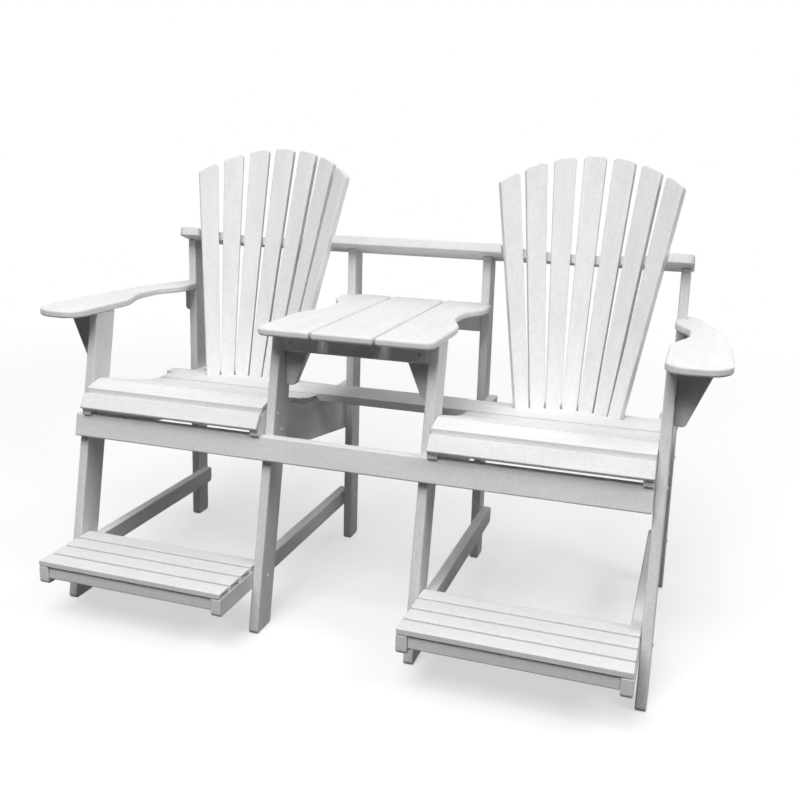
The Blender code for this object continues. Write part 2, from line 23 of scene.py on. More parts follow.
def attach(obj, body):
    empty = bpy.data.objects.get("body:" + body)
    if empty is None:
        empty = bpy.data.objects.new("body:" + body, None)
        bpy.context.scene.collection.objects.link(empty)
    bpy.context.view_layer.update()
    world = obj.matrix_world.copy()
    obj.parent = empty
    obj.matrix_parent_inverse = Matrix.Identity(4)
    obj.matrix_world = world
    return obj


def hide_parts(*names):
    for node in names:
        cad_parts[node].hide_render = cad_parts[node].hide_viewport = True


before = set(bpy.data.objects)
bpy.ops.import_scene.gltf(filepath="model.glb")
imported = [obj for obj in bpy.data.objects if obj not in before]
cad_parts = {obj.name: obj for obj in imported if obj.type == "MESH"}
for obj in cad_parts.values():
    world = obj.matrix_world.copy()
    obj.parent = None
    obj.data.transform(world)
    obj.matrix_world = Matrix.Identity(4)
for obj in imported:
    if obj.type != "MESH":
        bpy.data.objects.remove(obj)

LOG = logging.getLogger("loveseat")
FULL_TURN = 2 * math.pi
SEED = 7
Array = np.ndarray
Pair = tuple[float, float]
Triple = tuple[float, float, float]
Socket = bpy.types.NodeSocket


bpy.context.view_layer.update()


# Choices among named options


class Side(Enum):
    """The chair on the left or on the right of the photograph."""

    LEFT = -1
    RIGHT = 1

    @property
    def word(self) -> str:
        """The side's name in piece and node names."""
        return self.name.lower()


class Plane(Enum):
    """The side planes of a chair: next to the table, or at the outside."""

    INNER = "inner"
    OUTER = "outer"


class Grain(Enum):
    """Which local axis runs along the board: across or up its outline, or through its thickness."""

    ALONG_U = (0, 1, 2)
    ALONG_V = (1, 0, 2)
    ALONG_W = (2, 0, 1)


class Slot(Enum):
    """The record's material slots."""

    LUMBER = "white_lumber"
    FRAME = "white_lumber_frame"


# Shared sizes


@dataclass(frozen=True)
class Layout:
    """Sizes and places that several sub-assemblies share."""

    board: float = 0.0275
    rail_board: float = 0.030
    arm_board: float = 0.022
    seat_board: float = 0.025
    seat_slat: float = 0.0176
    back_slat: float = 0.022
    touch: float = 0.0003
    margin: float = 0.0006
    notch_corner: float = 0.0012
    table_half: float = 0.2135
    seat_width: float = 0.571
    rake: float = 0.190
    stretcher_z: float = 0.5235
    stretcher_height: float = 0.067
    post_front: float = 0.646
    post_depth: float = 0.070
    seat_top: float = 0.580
    arm_top: float = 0.8657
    footrest_front: float = -0.2612
    recline: float = math.radians(17.5)
    fan_y: float = 0.530
    fan_height: float = 0.791
    fan_edge: float = 0.003
    rail_y: float = 0.589
    rail_z: float = 1.037
    shoulder: float = 0.484
    seat_board_front: float = 0.4025
    scoop_depth: float = 0.045
    scoop_rise: Pair = (0.205, 0.375)
    scoop_fall: Pair = (0.450, 0.580)
    scoop_steps: int = 12

    @property
    def inner_side(self) -> float:
        """X of the inner legs' faces on the seat side."""
        return self.table_half + self.board

    @property
    def outer_side(self) -> float:
        """X of the outer legs' faces on the seat side."""
        return self.inner_side + self.seat_width

    @property
    def outer_face(self) -> float:
        """X of the outer legs' outer faces."""
        return self.outer_side + self.board

    @property
    def chair_x(self) -> float:
        """X of a chair's middle."""
        return self.inner_side + self.seat_width / 2

    @property
    def arm_under(self) -> float:
        """Height of the undersides of the arms and the table."""
        return self.arm_top - self.arm_board

    @property
    def post_rear(self) -> float:
        """Depth of the rear posts' rear faces."""
        return self.post_front + self.post_depth

    @property
    def middle_y(self) -> float:
        """Work out the depth of the object's middle.

        Returns:
            The depth halfway from the footrests' front to the fans' top edge.
        """
        reach = (self.fan_height - self.fan_edge) * math.sin(self.recline)
        rear = self.fan_y + reach + self.back_slat * math.cos(self.recline)
        return (self.footrest_front + rear) / 2

    @property
    def stretcher_foot(self) -> float:
        """Height of the stretcher's lower edge."""
        return self.stretcher_z - self.stretcher_height / 2

    @property
    def stretcher_head(self) -> float:
        """Height of the stretcher's upper edge."""
        return self.stretcher_z + self.stretcher_height / 2

    def lean(self, height: float) -> float:
        """Depth of the front legs' front face: the rake times the height over the datum."""
        return self.rake * (height - self.stretcher_z)

    def leaning(self, front: float, rear: float, foot: float, head: float) -> Array:
        """Draw a board that leans with the front legs.

        Args:
            front: Its front, counted from the legs' front face.
            rear: Its rear, counted in the same way.
            foot: Its lower height.
            head: Its upper height.

        Returns:
            The corners of a parallelogram of depth and height.
        """
        low, high = self.lean(foot), self.lean(head)
        ends = [(low + front, foot), (low + rear, foot), (high + rear, head), (high + front, head)]
        return np.array(ends)

    def rail_under(self, depth: float) -> float:
        """Height of the top rail's underside: it falls to the rear with the recline."""
        return self.rail_z - (depth - self.rail_y) * math.tan(self.recline)

    def scoop(self, depth: Array) -> Array:
        """Work out how far the edge beside a fan is hollowed.

        The hollow is the scoop depth times a smooth step up less a smooth step down, where a smooth
        step is s * s * (3 - 2 * s) of the share s of the way between its two depths.

        Args:
            depth: Depths along the edge.

        Returns:
            The hollow at each depth.
        """
        rise, fall = (
            np.clip((depth - start) / (end - start), 0, 1)
            for start, end in (self.scoop_rise, self.scoop_fall)
        )
        return self.scoop_depth * (rise * rise * (3 - 2 * rise) - fall * fall * (3 - 2 * fall))

    def scoop_depths(self) -> Array:
        """Depths at which a scooped edge is drawn, front to rear, through its rise and its fall."""
        spans = (self.scoop_rise, self.scoop_fall)
        return np.concatenate([np.linspace(*ends, self.scoop_steps + 1) for ends in spans])

    def across(self, near: float, far: float, side: Side) -> Pair:
        """The low and high X of a span between two distances from the middle, on one side."""
        low, high = sorted((side.value * near, side.value * far))
        return low, high

    def beside_seat(self, plane: Plane, thickness: float, side: Side) -> Pair:
        """Place a board on the seat side of the legs.

        Args:
            plane: The side plane of the chair.
            thickness: The board's thickness.
            side: The chair.

        Returns:
            Its low and high X.
        """
        if plane is Plane.INNER:
            return self.across(self.inner_side + self.touch, self.inner_side + thickness, side)
        return self.across(self.outer_side - thickness, self.outer_side - self.touch, side)


# Geometry of boards


# The gap between a chord and its arc, the least radius divided by, the fewest and most steps of an
# arc, and the steps of an eased edge.
CHORD_GAP = 1e-4
LEAST_RADIUS = 1e-6
ARC_STEPS = (3, 24)
EASE_STEPS = 5


def unit(vectors: Array) -> Array:
    """Vectors scaled to a length of one."""
    return vectors / np.linalg.norm(vectors, axis=-1, keepdims=True)


def turned(vectors: Array, angles: Array) -> Array:
    """Turn flat vectors counter-clockwise.

    Args:
        vectors: The vectors, X and Y last.
        angles: An angle for each.

    Returns:
        The turned vectors.
    """
    cosine, sine = np.cos(angles), np.sin(angles)
    x, y = vectors[..., 0], vectors[..., 1]
    return np.stack((x * cosine - y * sine, x * sine + y * cosine), axis=-1)


def rectangle(left: float, right: float, low: float, high: float) -> Array:
    """A rectangle's corners, counter-clockwise from the low left one."""
    return np.array([(left, low), (right, low), (right, high), (left, high)])


@dataclass(frozen=True)
class Outline:
    """A closed counter-clockwise outline with the outward normal at each point."""

    points: Array
    normals: Array

    @classmethod
    def rounded(cls, corners: Array, radii: Array | float, steps: int | None = None) -> "Outline":
        """Round each corner of a polygon by its own radius.

        The arc starts radius * tan(turn / 2) before the corner. Its points are its centre plus the
        incoming edge's normal turned by a growing share of the corner's turn. A corner without a
        radius stays one point, and its normal halves the turn.

        Args:
            corners: The polygon's corners, in either sense.
            radii: One radius, or one for each corner.
            steps: Steps of every arc, or None for chords that keep within CHORD_GAP of the arc.

        Returns:
            The rounded outline.
        """
        corners = np.asarray(corners, float)
        radii = np.broadcast_to(np.asarray(radii, float), len(corners))
        x, y = corners.T
        if np.sum(x * np.roll(y, -1) - np.roll(x, -1) * y) < 0:
            corners, radii = corners[::-1], radii[::-1]
        back = unit(np.roll(corners, 1, axis=0) - corners)
        ahead = unit(np.roll(corners, -1, axis=0) - corners)
        inward = np.stack((-back[:, 1], back[:, 0]), axis=-1)
        outward = np.stack((ahead[:, 1], -ahead[:, 0]), axis=-1)
        cross = inward[:, 0] * outward[:, 1] - inward[:, 1] * outward[:, 0]
        turn = np.arctan2(cross, np.sum(inward * outward, axis=1))
        start = corners + back * (radii * np.tan(np.abs(turn) / 2))[:, None]
        signed = (np.sign(turn) * radii)[:, None]
        centre = start - signed * inward
        if steps is None:
            sagitta = np.clip(CHORD_GAP / np.maximum(radii, LEAST_RADIUS), 0, 1)
            counts = np.clip(np.ceil(np.abs(turn) / (2 * np.arccos(1 - sagitta))), *ARC_STEPS)
        else:
            counts = np.full(len(corners), float(steps))
        grid = np.arange(counts.max() + 1)[None, :]
        sharp = radii[:, None] == 0
        share = np.where(sharp, 0.5, grid / counts[:, None])
        normals = turned(np.repeat(inward[:, None], grid.shape[1], axis=1), turn[:, None] * share)
        points = centre[:, None] + signed[:, None] * normals
        keep = np.where(sharp, grid == 0, grid <= counts[:, None])
        return cls(points[keep], normals[keep])


@dataclass(frozen=True)
class Surface:
    """A closed surface: its points, its faces, and the normal and grain place at each point."""

    points: Array
    faces: list[list[int]]
    normals: Array
    grain: Array


def ring_quads(rings: int, count: int) -> Array:
    """Join equal closed rings of points.

    Args:
        rings: The number of rings, one above the other.
        count: Points in each.

    Returns:
        Quads between the rings, facing out.
    """
    grid = np.arange(rings * count).reshape(rings, count)
    low, high = grid[:-1], grid[1:]
    quads = np.stack((low, np.roll(low, -1, 1), np.roll(high, -1, 1), high), axis=-1)
    return quads.reshape(-1, 4)


def fan_faces(ring: Array, middle: int) -> Array:
    """Triangles from each step of a closed ring of points to one middle point."""
    return np.stack((ring, np.roll(ring, -1), np.full(len(ring), middle)), axis=-1)


def carry(
    low: Outline,
    thickness: float,
    ease: float,
    place: Array,
    grain: Grain,
    high: Outline | None = None,
    lean: float = 0.0,
) -> Surface:
    """Carry an outline through a board's thickness, with eased edges.

    At the turn a of the easing, from 0 at a face to a right angle at the side, the outline is drawn
    in by ease * (1 - sin a) and stands ease * (1 - cos a) in from the face. Its normal there is the
    outline's normal times sin a and the face's normal times cos a.

    Args:
        low: The outline at the lower face.
        thickness: The board's thickness.
        ease: The radius of the eased edges.
        place: A 4 x 4 matrix from the outline's axes and the thickness to the frame's axes.
        grain: The local axis that runs along the board.
        high: The outline at the upper face, where it differs.
        lean: How far the board's length leans from the second axis towards the first.

    Returns:
        The board's surface.
    """
    high = high or low
    turn = np.linspace(0, math.pi / 2, EASE_STEPS + 1)
    rise, draw = ease * (1 - np.cos(turn)), ease * (1 - np.sin(turn))
    height = np.concatenate((rise, thickness - rise[::-1]))[:, None, None]
    inset = np.concatenate((draw, draw[::-1]))[:, None, None]
    spread = np.concatenate((np.sin(turn), np.sin(turn)[::-1]))[:, None, None]
    tilt = np.concatenate((-np.cos(turn), np.cos(turn)[::-1]))[:, None, None]
    share = height / thickness
    normals = unit(low.normals * (1 - share) + high.normals * share)
    flat = low.points * (1 - share) + high.points * share - inset * normals
    column = np.ones((*flat.shape[:2], 1))
    local = np.concatenate((flat, height * column), axis=-1).reshape(-1, 3)
    facing = np.concatenate((normals * spread, tilt * column), axis=-1).reshape(-1, 3)
    rings, count = flat.shape[:2]
    ring = list(range(count))
    top = [index + (rings - 1) * count for index in ring]
    faces = [*ring_quads(rings, count).tolist(), ring[::-1], top]
    axes = place[:3, :3]
    if np.linalg.det(axes) < 0:
        faces = [face[::-1] for face in faces]
    settled = local.copy()
    settled[:, :2] = turned(local[:, :2], np.full(len(local), lean))
    order = list(grain.value)
    return Surface(local @ axes.T + place[:3, 3], faces, facing @ axes.T, settled[:, order])


def moved(x: float = 0, y: float = 0, z: float = 0) -> Array:
    """Make a 4 x 4 matrix that moves a point.

    Args:
        x: How far to the right.
        y: How far to the rear.
        z: How far up.

    Returns:
        The matrix.
    """
    matrix = np.eye(4)
    matrix[:3, 3] = x, y, z
    return matrix


def reclined(angle: float) -> Array:
    """Make a 4 x 4 matrix that leans the Z axis to the rear.

    Args:
        angle: The angle.

    Returns:
        The matrix.
    """
    cosine, sine = math.cos(angle), math.sin(angle)
    matrix = np.eye(4)
    matrix[1:3, 1:3] = ((cosine, sine), (-sine, cosine))
    return matrix


SIDEWAYS = np.eye(4)[:, [1, 2, 0, 3]]
FACING = np.eye(4)[:, [0, 2, 1, 3]]


# Finishes


@dataclass(frozen=True)
class Knots:
    """Shorthand for a material's node tree."""

    tree: bpy.types.NodeTree

    def add(self, kind: str, **sockets: object) -> bpy.types.Node:
        """Add a node and set its properties and unlinked sockets.

        Args:
            kind: The node's type without the ShaderNode prefix.
            **sockets: Properties by name, or sockets by name with underscores for spaces.

        Returns:
            The node.
        """
        node = self.tree.nodes.new(f"ShaderNode{kind}")
        for name, value in sockets.items():
            if hasattr(node, name):
                setattr(node, name, value)
            else:
                node.inputs[name.replace("_", " ")].default_value = value
        return node

    def link(self, output: Socket, target: Socket) -> None:
        """Join an output to an input."""
        self.tree.links.new(output, target)

    def fed(
        self, source: Socket, name: str | int, kind: str, **sockets: object
    ) -> bpy.types.Node:
        """Add a node and feed one of its inputs.

        Args:
            source: The output that feeds it.
            name: The input's name or its place among the inputs.
            kind: The node's type without the ShaderNode prefix.
            **sockets: As for add.

        Returns:
            The node.
        """
        node = self.add(kind, **sockets)
        self.link(source, node.inputs[name])
        return node

    def spread(self, value: Socket, **limits: float | str) -> Socket:
        """A value mapped from one range to another."""
        return self.fed(value, "Value", "MapRange", **limits).outputs["Result"]

    def blend(self, share: Socket, low: Triple, high: Triple) -> Socket:
        """A colour between two, by a share."""
        ends = {"A": (*low, 1.0), "B": (*high, 1.0)}
        return self.fed(share, "Factor", "Mix", data_type="RGBA", **ends).outputs["Result"]

    def relief(self, height: Socket, strength: float, depth: float) -> bpy.types.Node:
        """A bump node that a height feeds."""
        return self.fed(height, "Height", "Bump", Strength=strength, Distance=depth)

    def chosen(self, share: Socket, none: Socket, whole: Socket) -> Socket:
        """Choose between two shaders.

        Args:
            share: The share of the second.
            none: The first shader.
            whole: The second shader.

        Returns:
            The mixed shader.
        """
        mix = self.fed(share, "Fac", "MixShader")
        self.link(none, mix.inputs[1])
        self.link(whole, mix.inputs[2])
        return mix.outputs[0]


def new_material(name: str) -> tuple[bpy.types.Material, Knots, bpy.types.Node]:
    """Start a node material.

    Args:
        name: The material's name.

    Returns:
        The material, its nodes' shorthand and its shader.
    """
    made = bpy.data.materials.new(name)
    made.use_nodes = True
    return made, Knots(made.node_tree), made.node_tree.nodes["Principled BSDF"]


@dataclass(frozen=True)
class Noise:
    """One noise of a finish: its scale along, across and through the board, and its detail."""

    scale: Triple
    detail: float
    roughness: float = 0.6

    def build(self, knots: Knots, place: Socket) -> Socket:
        """Make the noise.

        Args:
            knots: The material's nodes.
            place: The place on the board.

        Returns:
            The noise's value.
        """
        mapping = knots.fed(place, "Vector", "Mapping", Scale=self.scale)
        looks = {"Scale": 1.0, "Detail": self.detail, "Roughness": self.roughness}
        return knots.fed(mapping.outputs["Vector"], "Vector", "TexNoise", **looks).outputs["Fac"]


@dataclass(frozen=True)
class LumberFinish:
    """Solid-colour plastic lumber: a faint brushed grain, fine pits and a soft sheen."""

    name: str
    pale: Triple
    deep: Triple
    smooth: float = 0.46
    rough: float = 0.62
    sheen_span: Pair = (0.3, 0.7)
    specular: float = 0.20
    tone_spread: float = 0.030
    brushing: Noise = Noise((12.0, 170.0, 170.0), 3.0)
    clouding: Noise = Noise((5.0, 22.0, 22.0), 2.0)
    flecks: Noise = Noise((110.0, 160.0, 160.0), 2.0)
    pits: Noise = Noise((650.0, 900.0, 900.0), 1.0)
    brush_share: float = 0.35
    fleck_share: float = 0.50
    figure_span: float = 0.11
    relief: float = 0.5
    brush_depth: float = 0.00035
    pit_depth: float = 0.00012

    def build(self) -> bpy.types.Material:
        """Make the material.

        Brushing is noise stretched along the grain, clouding is a broad noise stretched the same
        way, flecks are a noise under a centimetre across and pits one of about a millimetre. The
        weighted sum of the first three mixes the two colours, and clouding the two roughnesses.
        Brushing and pits lift the surface.

        Returns:
            The material.
        """
        made, knots, shader = new_material(self.name)
        shader.inputs["Specular IOR Level"].default_value = self.specular
        grain = knots.add("Attribute", attribute_name="grain").outputs["Vector"]
        tone = knots.add("Attribute", attribute_name="tone").outputs["Fac"]
        layers = (self.brushing, self.clouding, self.flecks, self.pits)
        brushing, clouding, flecks, pits = (layer.build(knots, grain) for layer in layers)

        figure = clouding
        for layer, weight in ((brushing, self.brush_share), (flecks, self.fleck_share)):
            blend = knots.fed(figure, "A", "Mix", data_type="FLOAT", Factor=weight)
            knots.link(layer, blend.inputs["B"])
            figure = blend.outputs["Result"]
        low, high = 0.5 - self.figure_span, 0.5 + self.figure_span
        share = knots.spread(figure, From_Min=low, From_Max=high)
        colour = knots.blend(share, self.deep, self.pale)
        shade = knots.spread(tone, To_Min=1.0 - self.tone_spread, To_Max=1.0)
        toned = knots.add("VectorMath", operation="SCALE")
        knots.link(colour, toned.inputs[0])
        knots.link(shade, toned.inputs["Scale"])
        knots.link(toned.outputs["Vector"], shader.inputs["Base Color"])

        low, high = self.sheen_span
        limits = {"From_Min": low, "From_Max": high, "To_Min": self.rough, "To_Max": self.smooth}
        knots.link(knots.spread(clouding, **limits), shader.inputs["Roughness"])

        brushed = knots.relief(brushing, self.relief, self.brush_depth)
        pitted = knots.relief(pits, self.relief, self.pit_depth)
        knots.link(brushed.outputs["Normal"], pitted.inputs["Normal"])
        knots.link(pitted.outputs["Normal"], shader.inputs["Normal"])
        return made


@dataclass(frozen=True)
class ScrewFinish:
    """Coated steel of the screw heads, scuffed round the drive recess, or the dark greys of painted
    shade for sunk heads.
    """

    name: str = "coated_screw"
    pale: Triple = (0.80, 0.80, 0.79)
    deep: Triple = (0.60, 0.60, 0.59)
    metallic: float = 0.15
    smooth: float = 0.28
    rough: float = 0.46
    fleck_scale: float = 900.0
    fleck_detail: float = 3.0
    relief: float = 0.4
    fleck_depth: float = 0.00005

    def build(self) -> bpy.types.Material:
        """Make the material: fine noise mixes two greys and two roughnesses and lifts the coating.

        Returns:
            The material.
        """
        made, knots, shader = new_material(self.name)
        shader.inputs["Metallic"].default_value = self.metallic
        place = knots.add("TexCoord").outputs["Object"]
        looks = {"Scale": self.fleck_scale, "Detail": self.fleck_detail}
        flecks = knots.fed(place, "Vector", "TexNoise", **looks).outputs["Fac"]
        colour = knots.blend(flecks, self.deep, self.pale)
        knots.link(colour, shader.inputs["Base Color"])
        rough = knots.spread(flecks, To_Min=self.smooth, To_Max=self.rough)
        knots.link(rough, shader.inputs["Roughness"])
        lifted = knots.relief(flecks, self.relief, self.fleck_depth)
        knots.link(lifted.outputs["Normal"], shader.inputs["Normal"])
        return made


BOARDS = LumberFinish("white_lumber_boards", (0.86, 0.86, 0.853), (0.77, 0.77, 0.762))
FRAME_BOARDS = LumberFinish("white_lumber_frame_boards", (0.82, 0.82, 0.813), (0.72, 0.72, 0.712))
PAN_SCREW = ScrewFinish()
# The sunk screws' dark greys are painted shade: the shadow of the recesses they sit in, painted
# into the heads.
SUNK_SCREW_PAINTED_SHADE = ScrewFinish("sunk_screw", (0.30, 0.30, 0.295), (0.14, 0.14, 0.14))


# Making pieces


@dataclass
class Workbench:
    """Turns surfaces into finished objects that ride on the root body."""

    layout: Layout
    looks: dict[Slot, bpy.types.Material]
    screw: bpy.types.Material
    # The sunk screws' material, painted dark grey as shade of their recess.
    sunk: bpy.types.Material
    grain_spread: float = 40
    dice: np.random.Generator = field(default_factory=lambda: np.random.default_rng(SEED))
    made: list[str] = field(default_factory=list)

    def mesh(self, name: str, surface: Surface, look: bpy.types.Material) -> bpy.types.Object:
        """Put a surface into a mesh object.

        Args:
            name: The object's name.
            surface: The surface.
            look: Its material.

        Returns:
            The object.
        """
        mesh = bpy.data.meshes.new(name)
        mesh.from_pydata(surface.points.tolist(), [], surface.faces, shade_flat=False)
        mesh.normals_split_custom_set_from_vertices(surface.normals.tolist())
        grain = mesh.attributes.new("grain", "FLOAT_VECTOR", "POINT")
        offset = self.dice.uniform(0, self.grain_spread, 3)
        grain.data.foreach_set("vector", (surface.grain + offset).astype(np.float32).ravel())
        tone = mesh.attributes.new("tone", "FLOAT", "POINT")
        shade = np.full(len(surface.points), self.dice.uniform(), np.float32)
        tone.data.foreach_set("value", shade)
        mesh.materials.append(look)
        piece = bpy.data.objects.new(name, mesh)
        bpy.context.scene.collection.objects.link(piece)
        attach(piece, "root")
        self.made.append(name)
        LOG.info("%s: %d points, %d faces", name, len(surface.points), len(surface.faces))
        return piece

    def board(
        self, node: str, surface: Surface, slot: Slot = Slot.LUMBER, name: str | None = None
    ) -> None:
        """Make a board that stands for a CAD node.

        Args:
            node: The CAD node.
            surface: The board's surface.
            slot: The material slot it takes its finish from.
            name: The board's name, where it isn't the node's with _board.
        """
        piece = self.mesh(name or f"{node}_board", surface, self.looks[slot])
        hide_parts(node)


@dataclass
class Assembly:
    """A sub-assembly: the bench that makes its pieces, and the rounding of its boards."""

    bench: Workbench
    ease: float = 0.0042
    corner: float = 0.0048

    @property
    def layout(self) -> Layout:
        """The shared sizes."""
        return self.bench.layout

    def at(self, x: float = 0, y: float = 0, z: float = 0) -> Array:
        """A matrix that moves a point given from the leg datum into the frame's axes."""
        return moved(x, y - self.layout.middle_y, z)

    def side_board(
        self,
        node: str,
        corners: Array,
        radii: Array | float,
        span: Pair,
        slot: Slot = Slot.LUMBER,
        grain: Grain = Grain.ALONG_U,
        name: str | None = None,
        lean: float = 0.0,
        ease: float | None = None,
    ) -> None:
        """Make a board from an outline of depth and height, carried across the object.

        Args:
            node: The CAD node that it stands for.
            corners: The outline's corners.
            radii: Their radii.
            span: The low and high X.
            slot: The material slot.
            grain: The axis that runs along the board.
            name: The board's name, where it isn't the node's with _board.
            lean: How far its length leans from the height towards the depth.
            ease: The radius of the eased edges, where it isn't the assembly's.
        """
        low, high = span
        outline, place = Outline.rounded(corners, radii), self.at(x=low) @ SIDEWAYS
        ease = self.ease if ease is None else ease
        surface = carry(outline, high - low, ease, place, grain, lean=lean)
        self.bench.board(node, surface, slot, name)

    def front_board(
        self, node: str, corners: Array, radii: Array, depth: float, slot: Slot = Slot.LUMBER
    ) -> None:
        """Make an upright board from an outline of X and height, carried to the rear.

        Args:
            node: The CAD node that it stands for.
            corners: The outline's corners.
            radii: Their radii.
            depth: The depth of its front face.
            slot: The material slot.
        """
        outline, place = Outline.rounded(corners, radii), self.at(y=depth) @ FACING
        surface = carry(outline, self.layout.board, self.ease, place, Grain.ALONG_V)
        self.bench.board(node, surface, slot)


# Legs, posts and stretcher


@dataclass
class LegFrame(Assembly):
    """Four leaning front legs, four upright rear posts and the stretcher across the legs."""

    leg_depth: float = 0.090
    foot_corner: float = 0.012

    def build(self) -> None:
        """Make the legs and posts of both chairs, then the stretcher."""
        for side in Side:
            for plane in Plane:
                self.make_leg(side, plane)
                self.make_post(side, plane)
        self.make_stretcher()

    def make_upright(
        self, word: str, corners: Array, side: Side, plane: Plane, lean: float = 0.0
    ) -> None:
        """Make a leg or a post.

        Args:
            word: What it is, in piece and node names.
            corners: Its corners, the foot's two first.
            side: The chair.
            plane: The side plane of the chair.
            lean: How far its length leans to the rear.
        """
        sizes = self.layout
        near = sizes.table_half if plane is Plane.INNER else sizes.outer_side
        span = sizes.across(near, near + sizes.board, side)
        radii = (self.foot_corner, self.foot_corner, self.corner, self.corner)
        node = f"{word}_{plane.value}_{side.word}"
        self.side_board(node, corners, radii, span, Slot.FRAME, Grain.ALONG_V, lean=lean)

    def make_leg(self, side: Side, plane: Plane) -> None:
        """Make a front leg, leaning with the rake up to the arm's underside.

        Args:
            side: The chair.
            plane: The side plane of the chair.
        """
        head = self.layout.arm_under - self.layout.touch
        corners = self.layout.leaning(0, self.leg_depth, 0, head)
        self.make_upright("front_leg", corners, side, plane, math.atan(self.layout.rake))

    def make_post(self, side: Side, plane: Plane) -> None:
        """Make a rear post: upright, its head cut to the slope of the top rail's underside.

        Args:
            side: The chair.
            plane: The side plane of the chair.
        """
        sizes = self.layout
        touch = sizes.touch / math.cos(sizes.recline)
        front, rear = sizes.post_front, sizes.post_rear
        heads = [(depth, sizes.rail_under(depth) - touch) for depth in (rear, front)]
        self.make_upright("rear_post", np.array([(front, 0), (rear, 0), *heads]), side, plane)

    def make_stretcher(self) -> None:
        """The stretcher laps the left outer leg and stops at the right outer leg's inner face."""
        sizes = self.layout
        corners = sizes.leaning(
            -sizes.rail_board, -sizes.touch, sizes.stretcher_foot, sizes.stretcher_head
        )
        span = (-sizes.outer_face, sizes.outer_side)
        self.side_board("front_stretcher", corners, self.corner, span, grain=Grain.ALONG_W)


# Footrests


@dataclass
class Footrest(Assembly):
    """Two long rails that run back to the posts and carry a front apron and the tread's slats."""

    rail_top: float = 0.1752
    rail_height: float = 0.053
    rail_corner: float = 0.014
    rail_setback: float = 0.001
    rail_end: float = 0.690
    slat_thickness: float = 0.0165
    slat_width: float = 0.0518
    slat_pitch: float = 0.0617
    slat_count: int = 4
    slat_inset: float = 0.0012
    slat_corner: float = 0.0026
    apron_height: float = 0.037
    apron_setback: float = 0.006

    def build(self) -> None:
        """Make both footrests."""
        for side in Side:
            for plane in Plane:
                self.make_rail(side, plane)
            self.make_apron(side)
            self.make_slats(side)

    def make_rail(self, side: Side, plane: Plane) -> None:
        """Make a long rail with rounded lower ends, on the seat side of the legs.

        Args:
            side: The chair.
            plane: The side plane of the chair.
        """
        sizes = self.layout
        front = sizes.footrest_front + self.rail_setback
        foot = self.rail_top - self.rail_height
        corners = rectangle(front, self.rail_end, foot, self.rail_top)
        radii = (self.rail_corner, self.rail_corner, self.corner, self.corner)
        span = sizes.beside_seat(plane, sizes.rail_board, side)
        name = f"foot_rail_{plane.value}_{side.word}_board"
        self.side_board(f"footrest_{side.word}", corners, radii, span, name=name)

    def make_cross_board(
        self, word: str, corners: Array, radius: float, inset: float, side: Side
    ) -> None:
        """Make a board that runs across a footrest.

        Args:
            word: What it is, in its name.
            corners: Its corners in depth and height.
            radius: Their radius.
            inset: How far its ends stay off the legs' faces.
            side: The chair.
        """
        sizes = self.layout
        span = sizes.across(sizes.inner_side + inset, sizes.outer_side - inset, side)
        node, look = f"footrest_{side.word}", {"grain": Grain.ALONG_W, "name": f"{word}_board"}
        self.side_board(node, corners, radius, span, **look)

    def make_apron(self, side: Side) -> None:
        """Make the apron between the rails' front ends, under the first slat.

        Args:
            side: The chair.
        """
        sizes = self.layout
        front = sizes.footrest_front + self.apron_setback
        foot, head = self.rail_top - self.apron_height, self.rail_top - sizes.touch
        corners = rectangle(front, front + sizes.board, foot, head)
        inset = sizes.rail_board + sizes.touch
        self.make_cross_board(f"foot_apron_{side.word}", corners, self.corner, inset, side)

    def make_slats(self, side: Side) -> None:
        """Make the tread's slats, each a rectangle carried across the footrest.

        Args:
            side: The chair.
        """
        foot, head = self.rail_top + self.layout.touch, self.rail_top + self.slat_thickness
        for index in range(self.slat_count):
            front = self.layout.footrest_front + index * self.slat_pitch
            corners = rectangle(front, front + self.slat_width, foot, head)
            word = f"foot_slat_{side.word}_{index + 1}"
            self.make_cross_board(word, corners, self.slat_corner, self.slat_inset, side)


# Seats


